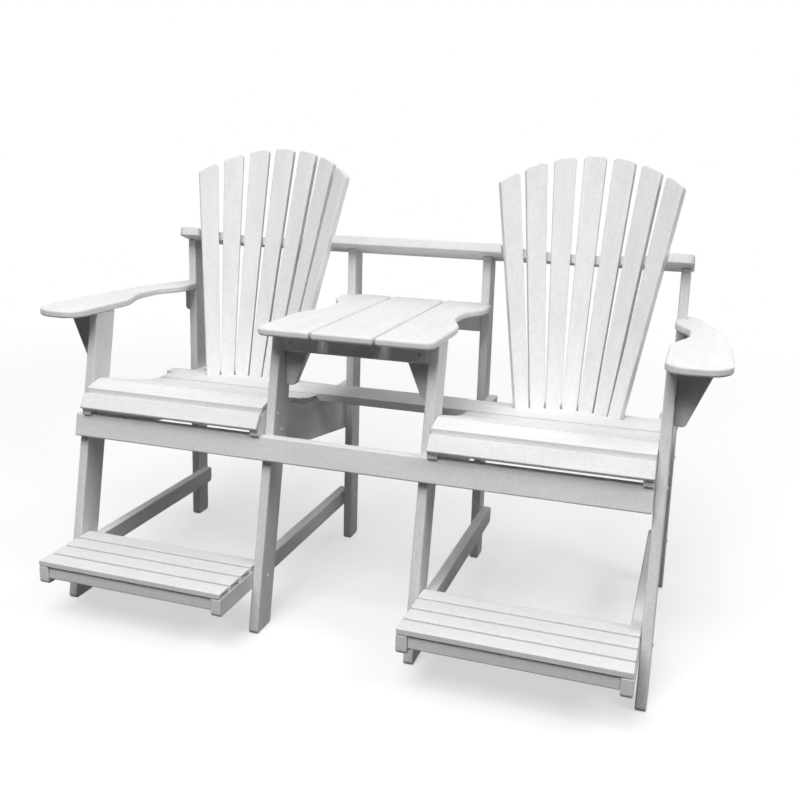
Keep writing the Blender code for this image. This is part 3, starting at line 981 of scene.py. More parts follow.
@dataclass
class DishedSeat(Assembly):
    """Deep side rails with a dished top edge, the nose board and the slats that follow the dish."""

    nose_foot: Pair = (-0.048, 0.583)
    nose_head: Pair = (-0.020, 0.622)
    front_slat: Pair = (-0.008, 0.634)
    crown: Pair = (0.0505, 0.650)
    dip_start: float = 0.0560
    dip_end: float = 0.3990
    dip_drop: float = 0.0720
    dip_shares: tuple[float, ...] = (0.0, 0.20, 0.46, 0.71, 0.91, 1.0)
    seam: float = 0.0055
    nose_corner: float = 0.0028
    slat_corner: float = 0.0018
    rail_height: float = 0.140
    rail_tail: float = 0.163
    rail_nose: float = -0.033
    rail_corner: float = 0.0035
    rail_ease: float = 0.003

    def build(self) -> None:
        """Make both seats."""
        for side in Side:
            for plane in Plane:
                self.make_rail(side, plane)
            self.make_slats(side)

    def dip(self) -> Array:
        """Place points along the top of the dish: even in depth, each by its share of the drop.

        Returns:
            The points, front to rear.
        """
        depth = np.linspace(self.dip_start, self.dip_end, len(self.dip_shares))
        drop = self.dip_drop * np.array(self.dip_shares)
        return np.stack((depth, self.crown[1] - drop), axis=-1)

    def chords(self, seam: float) -> Array:
        """Draw the slats' top faces from the side: the front slat, then the dish's.

        Args:
            seam: How far each slat of the dish stops short of the next.

        Returns:
            The front and the rear edge of each.
        """
        nodes = self.dip()
        rear = nodes[1:] + unit(nodes[:-1] - nodes[1:]) * seam
        dish = np.stack((nodes[:-1], rear), axis=1)
        return np.concatenate((np.array([[self.front_slat, self.crown]]), dish))

    def under(self, chords: Array, depth: float) -> Array:
        """Move chords square to themselves, towards the inside of the seat.

        Args:
            chords: The chords.
            depth: How far.

        Returns:
            The moved chords.
        """
        along = unit(chords[..., 1, :] - chords[..., 0, :])
        inward = np.stack((along[..., 1], -along[..., 0]), axis=-1) * depth
        return chords + inward[..., None, :]

    def crossings(self, chords: Array) -> Array:
        """Find where each chord's line crosses the next one's.

        Each crossing is the first line's start plus its run times the ratio of two cross products:
        the gap between the starts with the next run, over its own run with the next run.

        Args:
            chords: Chords in order along a curve.

        Returns:
            The crossings, one fewer than the chords.
        """
        start, run = chords[:, 0], chords[:, 1] - chords[:, 0]
        gap = start[1:] - start[:-1]
        top = gap[:, 0] * run[1:, 1] - gap[:, 1] * run[1:, 0]
        base = run[:-1, 0] * run[1:, 1] - run[:-1, 1] * run[1:, 0]
        return start[:-1] + run[:-1] * (top / base)[:, None]

    def make_rail(self, side: Side, plane: Plane) -> None:
        """Make a side rail: under the nose and the slats, behind the stretcher, back to the post.

        Its bends under the slats stay unrounded.

        Args:
            side: The chair.
            plane: The side plane of the chair.
        """
        sizes = self.layout
        tops = np.concatenate(([[self.nose_foot, self.nose_head]], self.chords(0.0)))
        lines = self.under(tops, sizes.seat_slat + sizes.touch)
        (start_y, start_z), (end_y, end_z) = lines[0]
        nose_z = start_z + (end_z - start_z) * (self.rail_nose - start_y) / (end_y - start_y)
        board_under = sizes.seat_top - sizes.seat_board - sizes.touch
        head = sizes.stretcher_head + sizes.touch
        foot = self.crown[1] - sizes.seat_slat - self.rail_height
        stop = sizes.seat_board_front - self.seam
        front = [
            (sizes.lean(foot) + sizes.touch, foot),
            (sizes.lean(head) + sizes.touch, head),
            (self.rail_nose, head),
            (self.rail_nose, nose_z),
        ]
        bends = self.crossings(lines)
        rear = [
            (stop, lines[-1][1][1]),
            (stop, board_under),
            (sizes.post_rear, board_under),
            (sizes.post_rear, board_under - self.rail_tail),
        ]
        corners = np.concatenate((front, bends, rear))
        radii = np.full(len(corners), self.rail_corner)
        radii[len(front) : -len(rear)] = 0
        node = f"seat_rail_{plane.value}_{side.word}"
        span = sizes.beside_seat(plane, sizes.board, side)
        self.side_board(node, corners, radii, span, ease=self.rail_ease)

    def make_slats(self, side: Side) -> None:
        """Make the nose board square to its chord, and the slats with plumb narrow sides.

        Args:
            side: The chair.
        """
        sizes, along = self.layout, Grain.ALONG_W
        near, far = sizes.inner_side + sizes.touch, sizes.outer_side - sizes.touch
        span = sizes.across(near, far, side)
        chord = np.array((self.nose_foot, self.nose_head))
        under = self.under(chord, sizes.seat_slat)
        corners = np.array((chord[0], under[0], under[1], chord[1]))
        node = f"seat_nose_{side.word}"
        self.side_board(node, corners, self.nose_corner, span, grain=along)
        for index, (front, rear) in enumerate(self.chords(self.seam)):
            run = rear - front
            drop = np.array((0, sizes.seat_slat * np.hypot(*run) / run[0]))
            corners = np.array((front, front - drop, rear - drop, rear))
            node = f"seat_slat_{side.word}_{index + 1}"
            self.side_board(node, corners, self.slat_corner, span, grain=along)


# Back fans and the boards that hold them


@dataclass(frozen=True)
class FanShape:
    """The slats' axes, which stand on a small arc and pass a wider one at the top rail."""

    layout: Layout
    rail_rise: float = 0.4536
    per_side: int = 3
    low_pitch: float = 0.048
    low_radius: float = 0.260
    high_pitch: float = 0.0724
    high_radius: float = 0.390
    low_width: float = 0.0445
    rail_width: float = 0.0586

    def arc(self, index: Array, pitch: float, radius: float, height: float) -> Array:
        """Place points on a level arc, bowed towards the rear.

        A point's turn is its index times the pitch over the radius.

        Args:
            index: The slats' indices, nought for the middle one.
            pitch: The step along the arc.
            radius: The arc's radius.
            height: Its height.

        Returns:
            A point for each index.
        """
        turn = index * pitch / radius
        bow = -radius * (1 - np.cos(turn))
        return np.stack((radius * np.sin(turn), bow, turn * 0 + height), axis=-1)

    def frames(self, chair_x: float) -> Array:
        """Work out the slats' axes from the leg datum.

        Up runs from the low arc to the high one. Across is level, turned by the mean of the two
        turns and made square to up. The rear is up crossed with across.

        Args:
            chair_x: X of the chair's middle.

        Returns:
            A 4 x 4 matrix for each slat, left to right: X across, Y to the rear, Z up the slat.
        """
        index = np.arange(-self.per_side, self.per_side + 1, dtype=float)
        foot = self.arc(index, self.low_pitch, self.low_radius, 0.0)
        head = self.arc(index, self.high_pitch, self.high_radius, self.rail_rise)
        up = unit(head - foot)
        turn = index * (self.low_pitch / self.low_radius + self.high_pitch / self.high_radius) / 2
        level = np.stack((np.cos(turn), -np.sin(turn), turn * 0), axis=-1)
        across = unit(level - up * np.sum(level * up, axis=-1, keepdims=True))
        local = np.zeros((len(index), 4, 4))
        local[:, :3, 0], local[:, :3, 1], local[:, :3, 2] = across, np.cross(up, across), up
        local[:, :3, 3], local[:, 3, 3] = foot, 1
        return self.back(chair_x) @ local

    def back(self, chair_x: float) -> Array:
        """The axes of a chair's reclined back."""
        sizes = self.layout
        return moved(chair_x, sizes.fan_y, sizes.seat_top) @ reclined(sizes.recline)

    def local_frames(self) -> Array:
        """The slats' axes within the reclined back."""
        return np.linalg.inv(self.back(0)) @ self.frames(0.0)

    def half(self, length: Array | float) -> Array | float:
        """Half the width of a slat at a distance along it: it grows evenly."""
        growth = (self.rail_width - self.low_width) / self.rail_rise
        return (self.low_width + growth * length) / 2

    def cut(self, chair_x: float, origin: Array, normal: Array, depth: float) -> Array:
        """Cut the slats' long edges with a plane.

        Each edge is a line from its low point to its high point, and the cut stands at the share
        where the line's distance from the plane is nil.

        Args:
            chair_x: X of the chair's middle.
            origin: A point of the plane.
            normal: The plane's normal.
            depth: How far behind the slats' faces the edges lie.

        Returns:
            Two points for each slat, left to right.
        """
        frames = self.frames(chair_x)[:, None]
        share = np.array((-1.0, 1.0))
        ends = []
        for length in (0.0, self.rail_rise):
            reach = (share * self.half(length), share * 0 + depth, share * 0 + length)
            local = np.einsum("...ij,...j->...i", frames[..., :3, :3], np.stack(reach, axis=-1))
            ends.append((local + frames[..., :3, 3]).reshape(-1, 3))
        low, along = ends[0], ends[1] - ends[0]
        ratio = ((origin - low) @ normal) / (along @ normal)
        return low + along * ratio[:, None]


@dataclass
class FanBack(Assembly):
    """Seven tapered slats in a fan, their top ends cut to one crowning arc."""

    ease: float = 0.0036
    tail: float = 0.084
    top_radius: float = 0.375
    top_corner: float = 0.010
    top_shares: tuple[float, ...] = (1.0, 0.45, 0.2, 0.0, -0.2, -0.45, -1.0)
    rounds: int = 8

    def build(self) -> None:
        """Make the slats of both fans."""
        shape = FanShape(self.layout)
        for side in Side:
            frames = shape.frames(side.value * self.layout.chair_x)
            for index, (place, local) in enumerate(zip(frames, shape.local_frames())):
                outline, matrix = self.slat_outline(shape, local), self.at() @ place @ FACING
                thickness = self.layout.back_slat
                surface = carry(outline, thickness, self.ease, matrix, Grain.ALONG_V)
                self.bench.board(f"back_slat_{side.word}_{index + 1}", surface)

    def slat_outline(self, shape: FanShape, local: Array) -> Outline:
        """Draw a slat in its own plane.

        Its sides widen evenly. Its top end follows the crown, a circle of the back's plane: a
        point's length along the slat is corrected a few times by how far it lies off the circle.

        Args:
            shape: The fan's shape.
            local: The slat's axes within the back.

        Returns:
            The outline.
        """
        share = np.array(self.top_shares)
        centre = self.layout.fan_height - self.top_radius
        length = np.full(len(share), self.layout.fan_height)
        for _ in range(self.rounds):
            across = share * shape.half(length)
            point = np.stack((across, across * 0, length), axis=-1) @ local[:3, :3].T + local[:3, 3]
            crown = centre + np.sqrt(self.top_radius**2 - point[:, 0] ** 2)
            length = length + crown - point[:, 2]
        tops = np.stack((share * shape.half(length), length), axis=-1)
        foot = shape.half(-self.tail)
        corners = np.concatenate(([(-foot, -self.tail), (foot, -self.tail)], tops))
        radii = np.zeros(len(corners))
        radii[:2] = self.corner
        radii[[2, -1]] = self.top_corner
        return Outline.rounded(corners, radii)


@dataclass
class HolderBoards(Assembly):
    """The seat board under both chairs, the battens behind the fans and the top rail."""

    ease: float = 0.0018
    corner: float = 0.0030
    hollow: float = 0.0012
    depth: float = 0.136
    batten_end: float = 0.0445
    batten_web: float = 0.042
    rail_depth: float = 0.136
    rail_overhang: float = 0.0080
    rail_corner: float = 0.022
    rail_ease: float = 0.0042
    corner_steps: int = 4
    rail_steps: int = 6

    def build(self) -> None:
        """Make the seat board, the battens and the top rail."""
        shape, sizes = FanShape(self.layout), self.layout
        heights = (sizes.seat_top - sizes.seat_board, sizes.seat_top)
        self.make_level("seat_board", [self.seat_outline(shape, height) for height in heights])
        for side in Side:
            outlines = [self.batten_outline(shape, side, height) for height in heights]
            self.make_level(f"lower_back_batten_{side.word}", outlines)
        self.make_top_rail(shape)

    def make_level(self, node: str, outlines: list[Outline]) -> None:
        """Make a board as thick and as high as the seat board.

        Args:
            node: The CAD node that it stands for.
            outlines: Its lower and upper outline of X and depth.
        """
        low, high = outlines
        thickness = self.layout.seat_board
        place = self.at(z=self.layout.seat_top - thickness)
        self.bench.board(node, carry(low, thickness, self.ease, place, Grain.ALONG_U, high=high))

    def level_line(self, shape: FanShape, side: Side, height: float, depth: float) -> Array:
        """Trace a fan at a height.

        Args:
            shape: The fans' shape.
            side: The chair.
            height: The height.
            depth: How far behind the slats' faces the line lies.

        Returns:
            The line's points of X and depth, left to right.
        """
        origin, normal = np.array((0, 0, height)), np.array((0.0, 0.0, 1.0))
        return shape.cut(side.value * self.layout.chair_x, origin, normal, depth)[:, :2]

    def seat_outline(self, shape: FanShape, height: float) -> Outline:
        """Draw the seat board at a height: its rear edge steps round both fans.

        Args:
            shape: The fans' shape.
            height: The height.

        Returns:
            The outline.
        """
        sizes = self.layout
        front, step, gap = sizes.seat_board_front, sizes.shoulder, sizes.margin
        half, rear = sizes.table_half, front + self.depth
        corners = [(-sizes.outer_side, front), (sizes.outer_side, front), (sizes.outer_side, step)]
        radii = [self.corner] * len(corners)
        for side in (Side.RIGHT, Side.LEFT):
            line = self.level_line(shape, side, height, 0) - (0, gap)
            behind = self.level_line(shape, side, height, sizes.back_slat) - (0, gap)
            run = (behind - line) * ((step - line[:, 1]) / (behind - line)[:, 1])[:, None]
            low, high = line[0][0] + run[0][0] - gap, line[-1][0] + run[-1][0] + gap
            corners += [(high, step), (line[-1][0] + gap, line[-1][1]), *line[-2:0:-1]]
            corners += [(line[0][0] - gap, line[0][1]), (low, step)]
            radii += [self.corner, self.hollow, *[0.0] * (len(line) - 2), self.hollow, self.corner]
            if side is Side.RIGHT:
                corners += [(half, step), (half, rear), (-half, rear), (-half, step)]
                radii += [self.hollow, self.corner, self.corner, self.hollow]
        corners.append((-sizes.outer_side, step))
        return Outline.rounded(np.array(corners), [*radii, self.corner], self.corner_steps)

    def batten_outline(self, shape: FanShape, side: Side, height: float) -> Outline:
        """Draw a batten at a height: bowed round the fan's rear, with a straight strip at each end.

        Args:
            shape: The fans' shape.
            side: The chair.
            height: The height.

        Returns:
            The outline.
        """
        sizes = self.layout
        front, gap = sizes.shoulder + sizes.margin, sizes.margin
        line = self.level_line(shape, side, height, sizes.back_slat) + (0, gap)
        low, high = sizes.across(sizes.table_half + gap, sizes.outer_face, side)
        first, last = line[0] - (gap, 0), line[-1] + (gap, 0)
        behind = line[::-1] + (0, self.batten_web)
        end = front + self.batten_end
        corners = [(low, front), (first[0], front), first, *line[1:-1], last, (last[0], front)]
        corners += [(high, front), (high, end), *behind, (low, end)]
        inner = [0.0] * (len(line) - 2)
        radii = [self.corner, self.corner, self.hollow, *inner, self.hollow, self.corner] * 2
        return Outline.rounded(np.array(corners), radii, self.corner_steps)

    def rail_outline(self, shape: FanShape, rail: Array, rise: float) -> Outline:
        """Draw the top rail in its own plane, its front edge cut to the slats' rear faces.

        Args:
            shape: The fans' shape.
            rail: The rail's axes from the leg datum.
            rise: The height over the rail's underside.

        Returns:
            The outline.
        """
        sizes = self.layout
        inverse = np.linalg.inv(rail)
        origin, normal = (rail @ (0, 0, rise, 1))[:3], rail[:3, 2]
        half, gap = sizes.outer_face + self.rail_overhang, sizes.margin
        corners = [(half, 0), (half, self.rail_depth), (-half, self.rail_depth), (-half, 0)]
        radii = [self.rail_corner] * len(corners)
        for side in Side:
            line = shape.cut(side.value * sizes.chair_x, origin, normal, sizes.back_slat)
            line = (line @ inverse[:3, :3].T + inverse[:3, 3])[:, :2] + (0, gap)
            left, right = line[0][0] - gap, line[-1][0] + gap
            corners += [(left, 0), (left, line[0][1]), *line[1:-1]]
            corners += [(right, line[-1][1]), (right, 0)]
            outer, inner = self.rail_ease + gap, [0.0] * (len(line) - 2)
            radii += [outer, self.hollow, *inner, self.hollow, outer]
        return Outline.rounded(np.array(corners), radii, self.rail_steps)

    def make_top_rail(self, shape: FanShape) -> None:
        """Make the top rail, square to the reclined backs.

        Args:
            shape: The fans' shape.
        """
        sizes = self.layout
        rail = moved(0, sizes.rail_y, sizes.rail_z) @ reclined(sizes.recline)
        low, high = (self.rail_outline(shape, rail, rise) for rise in (0.0, sizes.rail_board))
        place, grain = self.at() @ rail, Grain.ALONG_U
        surface = carry(low, sizes.rail_board, self.rail_ease, place, grain, high=high)
        self.bench.board("top_rail", surface)


# Arms, table and what carries them


@dataclass
class LevelBoards(Assembly):
    """Boards at the height of the arms."""

    level_ease: float = 0.0

    @property
    def sharp(self) -> float:
        """The least radius of a corner that the eased edge turns round."""
        return self.level_ease + self.layout.margin

    def make_level(self, node: str, corners: Array, radii: Array | float) -> None:
        """Make a board whose top is at the arms' height.

        Args:
            node: The CAD node that it stands for.
            corners: Its corners in X and depth.
            radii: Their radii.
        """
        sizes, outline = self.layout, Outline.rounded(corners, radii)
        place, grain = self.at(z=sizes.arm_under), Grain.ALONG_V
        self.bench.board(node, carry(outline, sizes.arm_board, self.level_ease, place, grain))


@dataclass
class Arms(LevelBoards):
    """Arms, hollowed inside and tapered outside, that pass the posts and rest on cleats."""

    level_ease: float = 0.0065
    front: float = -0.054
    rear: float = 0.704
    overhang: float = 0.003
    width: float = 0.156
    tail_width: float = 0.0555
    taper_start: float = 0.080
    taper_power: float = 2.5
    taper_steps: int = 16
    inner_corner: float = 0.050
    outer_corner: float = 0.074
    tail_corner: float = 0.012
    cleat_height: float = 0.080
    cleat_reach: float = 0.0275
    cleat_corner: float = 0.014

    def build(self) -> None:
        """Make both arms and their cleats."""
        for side in Side:
            self.make_arm(side)
            self.make_cleat(side)

    def make_arm(self, side: Side) -> None:
        """Make an arm.

        Its outer edge draws in from the full width by a power of the share of the way from the
        taper's start to the rear. Its inner edge is moved out by the scoop, and stops at the post,
        round which the tail is notched.

        Args:
            side: The chair.
        """
        sizes = self.layout
        inner = sizes.outer_side - self.overhang
        outer, tail = inner + self.width, inner + self.tail_width
        step, notch = sizes.post_front - sizes.touch, sizes.outer_face + sizes.margin
        share = np.linspace(0, 1, self.taper_steps + 1)
        narrowed = outer - (outer - tail) * share**self.taper_power
        along = self.taper_start + (self.rear - self.taper_start) * share
        taper = np.stack((narrowed, along), axis=-1)
        depths = sizes.scoop_depths()[::-1]
        inside = np.stack((inner + sizes.scoop(depths), depths), axis=-1)
        ends = [(inner, self.front), (outer, self.front)]
        around = [(notch, self.rear), (notch, step), (inner, step)]
        corners = np.concatenate((ends, taper, around, inside))
        radii, tip = np.zeros(len(corners)), len(ends) + self.taper_steps
        radii[: len(ends)] = self.inner_corner, self.outer_corner
        tip_radii = (self.tail_corner, self.sharp, sizes.notch_corner, self.sharp)
        radii[tip : tip + len(tip_radii)] = tip_radii
        self.make_level(f"arm_{side.word}", corners * (side.value, 1), radii)

    def make_cleat(self, side: Side) -> None:
        """Make the cleat beside the outer post, in the middle of its depth, under the arm's tail.

        Args:
            side: The chair.
        """
        sizes = self.layout
        near, head = sizes.outer_face + sizes.touch, sizes.arm_under - sizes.touch
        corners = rectangle(near, near + self.cleat_reach, head - self.cleat_height, head)
        radii = (self.corner, self.cleat_corner, self.corner, self.corner)
        depth = sizes.post_front + (sizes.post_depth - sizes.board) / 2
        self.front_board(f"arm_cleat_{side.word}", corners * (side.value, 1), radii, depth)


@dataclass
class SharedTable(LevelBoards):
    """Three planks, the outer two hollowed like the arms, over a front and a rear apron."""

    level_ease: float = 0.0075
    front: float = -0.042
    rear: float = 0.672
    overhang: float = 0.009
    middle_half: float = 0.0865
    seam: float = 0.0060
    outer_corner: float = 0.034
    inner_corner: float = 0.008
    apron_height: float = 0.056
    rear_apron_height: float = 0.068

    def build(self) -> None:
        """Make the planks and both aprons."""
        middle = rectangle(-self.middle_half, self.middle_half, self.front, self.rear)
        self.make_level("table_plank_middle", middle, self.inner_corner)
        for side in Side:
            self.make_side_plank(side)
        self.make_aprons()

    def make_side_plank(self, side: Side) -> None:
        """Make an outer plank: scooped beside the fan, and notched to fit past the post.

        Args:
            side: The chair.
        """
        sizes = self.layout
        inner = self.middle_half + self.seam
        outer = sizes.inner_side + self.overhang
        notch, step = sizes.table_half - sizes.margin, sizes.post_front - sizes.margin
        depths = sizes.scoop_depths()
        outside = np.stack((outer - sizes.scoop(depths), depths), axis=-1)
        front = [(inner, self.rear), (inner, self.front), (outer, self.front)]
        tail = [(outer, step), (notch, step), (notch, self.rear)]
        corners = np.concatenate((front, outside, tail))
        radii = np.zeros(len(corners))
        radii[: len(front)] = self.sharp, self.inner_corner, self.outer_corner
        radii[-len(tail) :] = self.sharp, sizes.notch_corner, self.sharp
        self.make_level(f"table_plank_{side.word}", corners * (side.value, 1), radii)

    def make_aprons(self) -> None:
        """The front apron leans with the legs. The rear one stands against the posts' plane."""
        sizes = self.layout
        end, head = sizes.table_half - sizes.touch, sizes.arm_under - sizes.touch
        front, rear = sizes.post_front, sizes.post_front + sizes.board
        aprons = {
            "front": sizes.leaning(0, sizes.board, head - self.apron_height, head),
            "rear": rectangle(front, rear, head - self.rear_apron_height, head),
        }
        for word, corners in aprons.items():
            node, along = f"table_{word}_apron", Grain.ALONG_W
            self.side_board(node, corners, self.corner, (-end, end), grain=along)


@dataclass
class Gussets(Assembly):
    """Brackets on the legs' faces away from the seats, under the arms and the table."""

    height: float = 0.161
    reach: float = 0.094
    tip: float = 0.027
    tip_corner: float = 0.012

    def build(self) -> None:
        """Make the four gussets."""
        sizes = self.layout
        head = sizes.arm_under - sizes.touch
        foot = head - self.height
        depth = sizes.lean(head) + sizes.board + sizes.margin
        radii = (self.corner, self.tip_corner, self.corner, self.corner)
        for side in Side:
            places = {
                "arm": (sizes.outer_face + sizes.touch, side.value),
                "table": (-sizes.table_half + sizes.touch, -side.value),
            }
            for word, (base, away) in places.items():
                tip, reach = base + self.tip, base + self.reach
                corners = np.array([(base, foot), (tip, foot), (reach, head), (base, head)])
                node = f"{word}_gusset_{side.word}"
                self.front_board(node, corners * (away, 1), radii, depth, Slot.FRAME)


# Screws


@dataclass
class Screws(Assembly):
    """Pan-head screws that hold the rails to the legs and posts, and the apron's sunk ones."""

    radius: float = 0.0056
    rise: float = 0.0030
    recess_reach: float = 0.0029
    recess_width: float = 0.0008
    recess_depth: float = 0.0014
    sunk_rise: float = 0.0010
    sunk_place: Pair = (0.186, 0.811)
    inner_leg: tuple[Pair, ...] = ((0.020, 0.610), (0.055, 0.556), (0.045, 0.149))
    outer_leg: tuple[Pair, ...] = ((0.042, 0.569), (0.043, 0.535), (0.045, 0.149))
    post: tuple[Pair, ...] = ((0.035, 0.425), (0.035, 0.520), (0.035, 0.149))
    askew: Triple = (0.3, 0.2, 0.9)
    rings: int = 9
    spokes: int = 24

    def head(self, rise: float) -> tuple[Array, list[list[int]], Array]:
        """Work out a pan head as a function of two parameters.

        Going out by r and round by t, the height is the rise times the square root of
        1 - (r / radius) ** 4. Within the reach of the recess it is lowered near the two lines
        that cross at the middle.

        Args:
            rise: How far the head stands out.

        Returns:
            Points, faces and normals, standing on Z = 0 and rising along +Z.
        """
        out = self.radius * np.sin(np.linspace(0, math.pi / 2, self.rings + 1)[1:])
        turn = np.arange(self.spokes) * FULL_TURN / self.spokes
        radius, angle = np.meshgrid(out, turn, indexing="ij")
        x, y = radius * np.cos(angle), radius * np.sin(angle)
        height = rise * np.sqrt(np.clip(1 - (radius / self.radius) ** 4, 0, 1))
        near = np.minimum(np.abs(x), np.abs(y)) < self.recess_width
        recess = min(self.recess_depth, rise / 2)
        height = height - recess * (near & (radius < self.recess_reach))
        rim = np.stack((x, y, height), axis=-1)[::-1].reshape(-1, 3)
        points = np.concatenate((rim, [(0, 0, rise - recess)]))
        foot = np.arange(self.spokes)
        top = fan_faces(foot + len(rim) - self.spokes, len(rim))
        quads = ring_quads(self.rings, self.spokes)
        faces = [*quads.tolist(), *top.tolist(), foot[::-1].tolist()]
        slope = 2 * rise * points[:, :2] / self.radius**2
        return points, faces, unit(np.concatenate((slope, np.ones((len(points), 1))), axis=1))

    def add(self, name: str, spots: Array, facing: Triple, sunk: bool = False) -> None:
        """Make a group of screws that face one way as one piece.

        Args:
            name: The group's name.
            spots: Their places from the leg datum.
            facing: The direction that their heads point in.
            sunk: Whether they are sunk nearly flush; their heads then take dark greys of painted
                shade, for the shadow of the recess.
        """
        points, faces, normals = self.head(self.sunk_rise if sunk else self.rise)
        out = unit(np.asarray(facing, float))
        side = unit(np.cross(self.askew, out))
        axes = np.stack((side, np.cross(out, side), out), axis=1)
        middles = np.asarray(spots, float) - (0, self.layout.middle_y, 0)
        placed = ((points @ axes.T)[None] + middles[:, None]).reshape(-1, 3)
        starts = [len(points) * index for index in range(len(spots))]
        every = [[corner + start for corner in face] for start in starts for face in faces]
        repeat = (len(spots), 1)
        surface = Surface(placed, every, np.tile(normals @ axes.T, repeat), np.tile(points, repeat))
        # Sunk heads take the dark grey finish, painted shade of their recess.
        self.bench.mesh(name, surface, self.bench.sunk if sunk else self.bench.screw)

    def build(self) -> None:
        """Make the screws of both chairs and the table."""
        sizes = self.layout
        planes = {
            Plane.INNER: (sizes.table_half, -1, self.inner_leg),
            Plane.OUTER: (sizes.outer_face, 1, self.outer_leg),
        }
        for side in Side:
            for plane, (near, away, places) in planes.items():
                x, out = side.value * near, (side.value * away, 0, 0)
                leg = [(x, sizes.lean(z) + y, z) for y, z in places]
                post = [(x, sizes.post_front + y, z) for y, z in self.post]
                for word, spots in (("front_leg", leg), ("rear_post", post)):
                    self.add(f"{word}_{plane.value}_{side.word}_screws", np.array(spots), out)
        across, height = self.sunk_place
        apron = [(x, sizes.lean(height), height) for x in (-across, across)]
        self.add("table_front_apron_screws", np.array(apron), (0, -1, sizes.rake), sunk=True)


# Studio


def seen_directly(knots: Knots) -> Socket:
    """Tell rays from the camera, and mirrored and passing ones, from all others.

    Args:
        knots: The nodes of a material or the world.

    Returns:
        One for those rays and nil for others.
    """
    path = knots.add("LightPath").outputs
    first = knots.fed(path["Is Camera Ray"], 0, "Math", operation="MAXIMUM")
    knots.link(path["Is Glossy Ray"], first.inputs[1])
    second = knots.fed(first.outputs[0], 0, "Math", operation="MAXIMUM")
    knots.link(path["Is Transmission Ray"], second.inputs[1])
    return second.outputs[0]


@dataclass(frozen=True)
class FloorFinish:
    """A plain pale floor that fades to white far from the object."""

    name: str = "pale_floor"
    seen: float = 0.48
    glow: float = 0.56
    hidden: float = 0.04
    fade_start: float = 2.2
    fade_end: float = 5.0

    def build(self) -> bpy.types.Material:
        """Make the material.

        Seen directly or mirrored it is a pale diffuse colour plus a little white glow, which fades
        to a glow of one with the distance from the middle. Other rays meet a duller floor.

        Returns:
            The material.
        """
        made, knots, shader = new_material(self.name)
        made.node_tree.nodes.remove(shader)
        output = made.node_tree.nodes["Material Output"]
        pale, dull = (
            knots.add("BsdfDiffuse", Color=(grey, grey, grey, 1.0)).outputs[0]
            for grey in (self.seen, self.hidden)
        )
        glow, white = (
            knots.add("Emission", Strength=strength).outputs[0] for strength in (self.glow, 1.0)
        )
        lit = knots.fed(pale, 0, "AddShader")
        knots.link(glow, lit.inputs[1])
        place = knots.add("TexCoord").outputs["Object"]
        length = knots.fed(place, 0, "VectorMath", operation="LENGTH").outputs["Value"]
        ends = {"From_Min": self.fade_start, "From_Max": self.fade_end}
        fade = knots.spread(length, interpolation_type="SMOOTHSTEP", **ends)
        seen = knots.chosen(fade, lit.outputs[0], white)
        knots.link(knots.chosen(seen_directly(knots), dull, seen), output.inputs["Surface"])
        return made


@dataclass(frozen=True)
class Lamp:
    """A square soft lamp that points at the object's middle."""

    name: str
    place: Triple
    size: float
    power: float
    aim: Triple = (0.0, 0.0, 0.6)

    def build(self) -> None:
        """Make the lamp."""
        light = bpy.data.lights.new(self.name, "AREA")
        light.shape, light.size, light.energy = "SQUARE", self.size, self.power
        lamp = bpy.data.objects.new(self.name, light)
        back = unit(np.array(self.place) - np.array(self.aim))
        side = unit(np.cross((0.0, 0.0, 1.0), back))
        matrix = np.eye(4)
        matrix[:3] = np.stack((side, np.cross(back, side), back, self.place), axis=1)
        lamp.matrix_world = Matrix(matrix.tolist())
        bpy.context.scene.collection.objects.link(lamp)


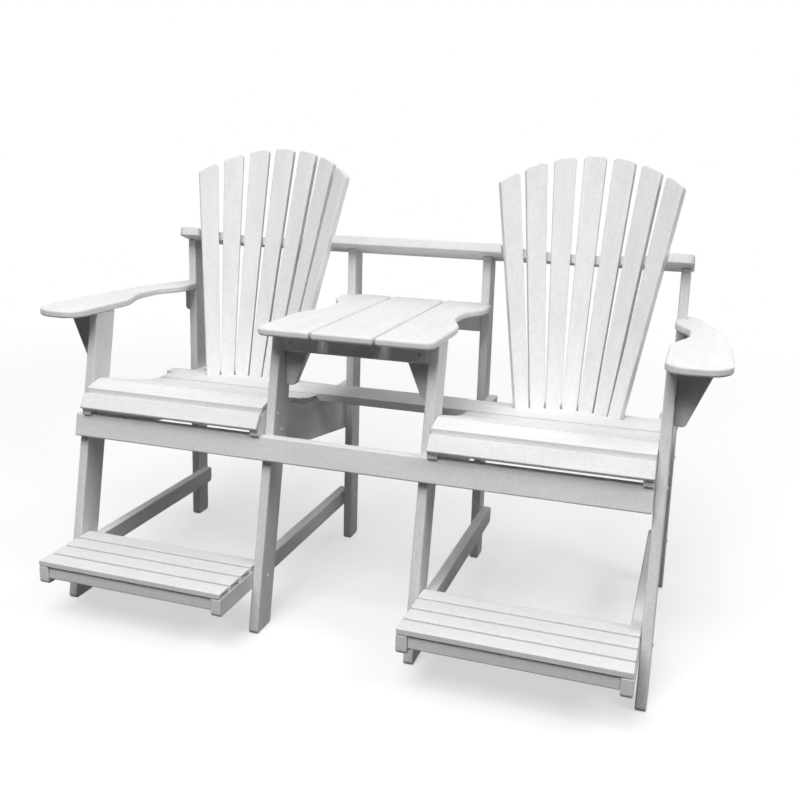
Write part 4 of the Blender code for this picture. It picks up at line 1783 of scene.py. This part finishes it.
@dataclass
class Studio:
    """Floor, sky dome, lamps and the camera at the photograph's viewing angle."""

    camera_place: Triple = (0.8861, -2.61337, 1.3403)
    yaw: float = math.radians(19.2177)
    pitch: float = math.radians(-11.982)
    roll: float = math.radians(1.3033)
    lens: float = 43.556
    sensor: float = 36.0
    shift: Pair = (0.0382, -0.0570)
    horizon: float = 0.0
    zenith: float = 0.90
    dark_band: float = 0.40
    floor_radius: float = 30.0
    floor_rings: int = 12
    floor_spokes: int = 64
    lamps: tuple[Lamp, ...] = (
        Lamp("front_softbox", (-0.2, -4.2, 5.7), 3.2, 304.0),
        Lamp("right_softbox", (5.4, -1.2, 5.4), 2.4, 124.0),
        Lamp("rear_softbox", (4.4, 5.4, 2.6), 3.2, 50.0),
    )

    def build(self) -> None:
        """Set the stage."""
        self.make_floor()
        self.make_world()
        for lamp in self.lamps:
            lamp.build()
        self.make_camera()
        bpy.context.scene.view_settings.view_transform = "Standard"

    def make_floor(self) -> None:
        """A round floor: rings of points about the origin, at Z = 0, at evenly growing steps."""
        reach = self.floor_radius * np.linspace(0, 1, self.floor_rings + 1)[1:] ** 2
        around = np.arange(self.floor_spokes) * FULL_TURN / self.floor_spokes
        radius, turn = np.meshgrid(reach, around, indexing="ij")
        rim = np.stack((radius * np.cos(turn), radius * np.sin(turn), radius * 0), axis=-1)
        points = np.concatenate((rim.reshape(-1, 3), [(0.0, 0.0, 0.0)]))
        quads = np.roll(ring_quads(self.floor_rings, self.floor_spokes)[:, ::-1], 1, axis=1)
        middle = fan_faces(np.arange(self.floor_spokes), len(points) - 1)
        mesh = bpy.data.meshes.new("studio_floor")
        mesh.from_pydata(points.tolist(), [], [*quads.tolist(), *middle.tolist()])
        mesh.materials.append(FloorFinish().build())
        floor = bpy.data.objects.new("studio_floor", mesh)
        bpy.context.scene.collection.objects.link(floor)

    def make_world(self) -> None:
        """An overcast dome: dull at the horizon and bright overhead. Seen directly it is white."""
        world = bpy.data.worlds.new("overcast_dome")
        bpy.context.scene.world = world
        world.use_nodes = True
        knots = Knots(world.node_tree)
        place = knots.add("TexCoord").outputs["Generated"]
        rise = knots.fed(place, 0, "SeparateXYZ").outputs["Z"]
        ends = {"From_Min": self.dark_band, "To_Min": self.horizon, "To_Max": self.zenith}
        dome = world.node_tree.nodes["Background"]
        dome.inputs["Color"].default_value = (1.0, 1.0, 1.0, 1.0)
        knots.link(knots.spread(rise, **ends), dome.inputs["Strength"])
        white = knots.add("Background", Strength=1.0, Color=(1.0, 1.0, 1.0, 1.0)).outputs[0]
        sky = knots.chosen(seen_directly(knots), dome.outputs[0], white)
        knots.link(sky, world.node_tree.nodes["World Output"].inputs["Surface"])

    def make_camera(self) -> None:
        """Place the camera.

        It looks along (-sin yaw cos pitch, cos yaw cos pitch, sin pitch). Its right and up axes are
        turned about that by the roll.
        """
        lens = bpy.data.cameras.new("viewpoint")
        lens.lens, lens.sensor_width = self.lens, self.sensor
        lens.shift_x, lens.shift_y = self.shift
        eye = bpy.data.objects.new("viewpoint", lens)
        level, across, along = math.cos(self.pitch), math.cos(self.yaw), math.sin(self.yaw)
        ahead = np.array((-along * level, across * level, math.sin(self.pitch)))
        right = np.array((across, along, 0.0))
        up = np.cross(right, ahead)
        cosine, sine = math.cos(self.roll), math.sin(self.roll)
        axes = (right * cosine + up * sine, up * cosine - right * sine, -ahead, self.camera_place)
        matrix = np.eye(4)
        matrix[:3] = np.stack(axes, axis=1)
        eye.matrix_world = Matrix(matrix.tolist())
        bpy.context.scene.collection.objects.link(eye)
        bpy.context.scene.camera = eye


ASSEMBLIES = (
    LegFrame,
    Footrest,
    DishedSeat,
    FanBack,
    HolderBoards,
    Arms,
    SharedTable,
    Gussets,
    Screws,
)


def main() -> None:
    """Build the loveseat and its studio."""
    logging.basicConfig(level=logging.INFO, format="%(message)s")
    looks = {Slot.LUMBER: BOARDS.build(), Slot.FRAME: FRAME_BOARDS.build()}
    bench = Workbench(Layout(), looks, PAN_SCREW.build(), SUNK_SCREW_PAINTED_SHADE.build())
    for assembly in ASSEMBLIES:
        assembly(bench).build()
        LOG.info("%s built", assembly.__name__)
    Studio().build()
    LOG.info("%d pieces", len(bench.made))


if __name__ == "__main__":
    main()
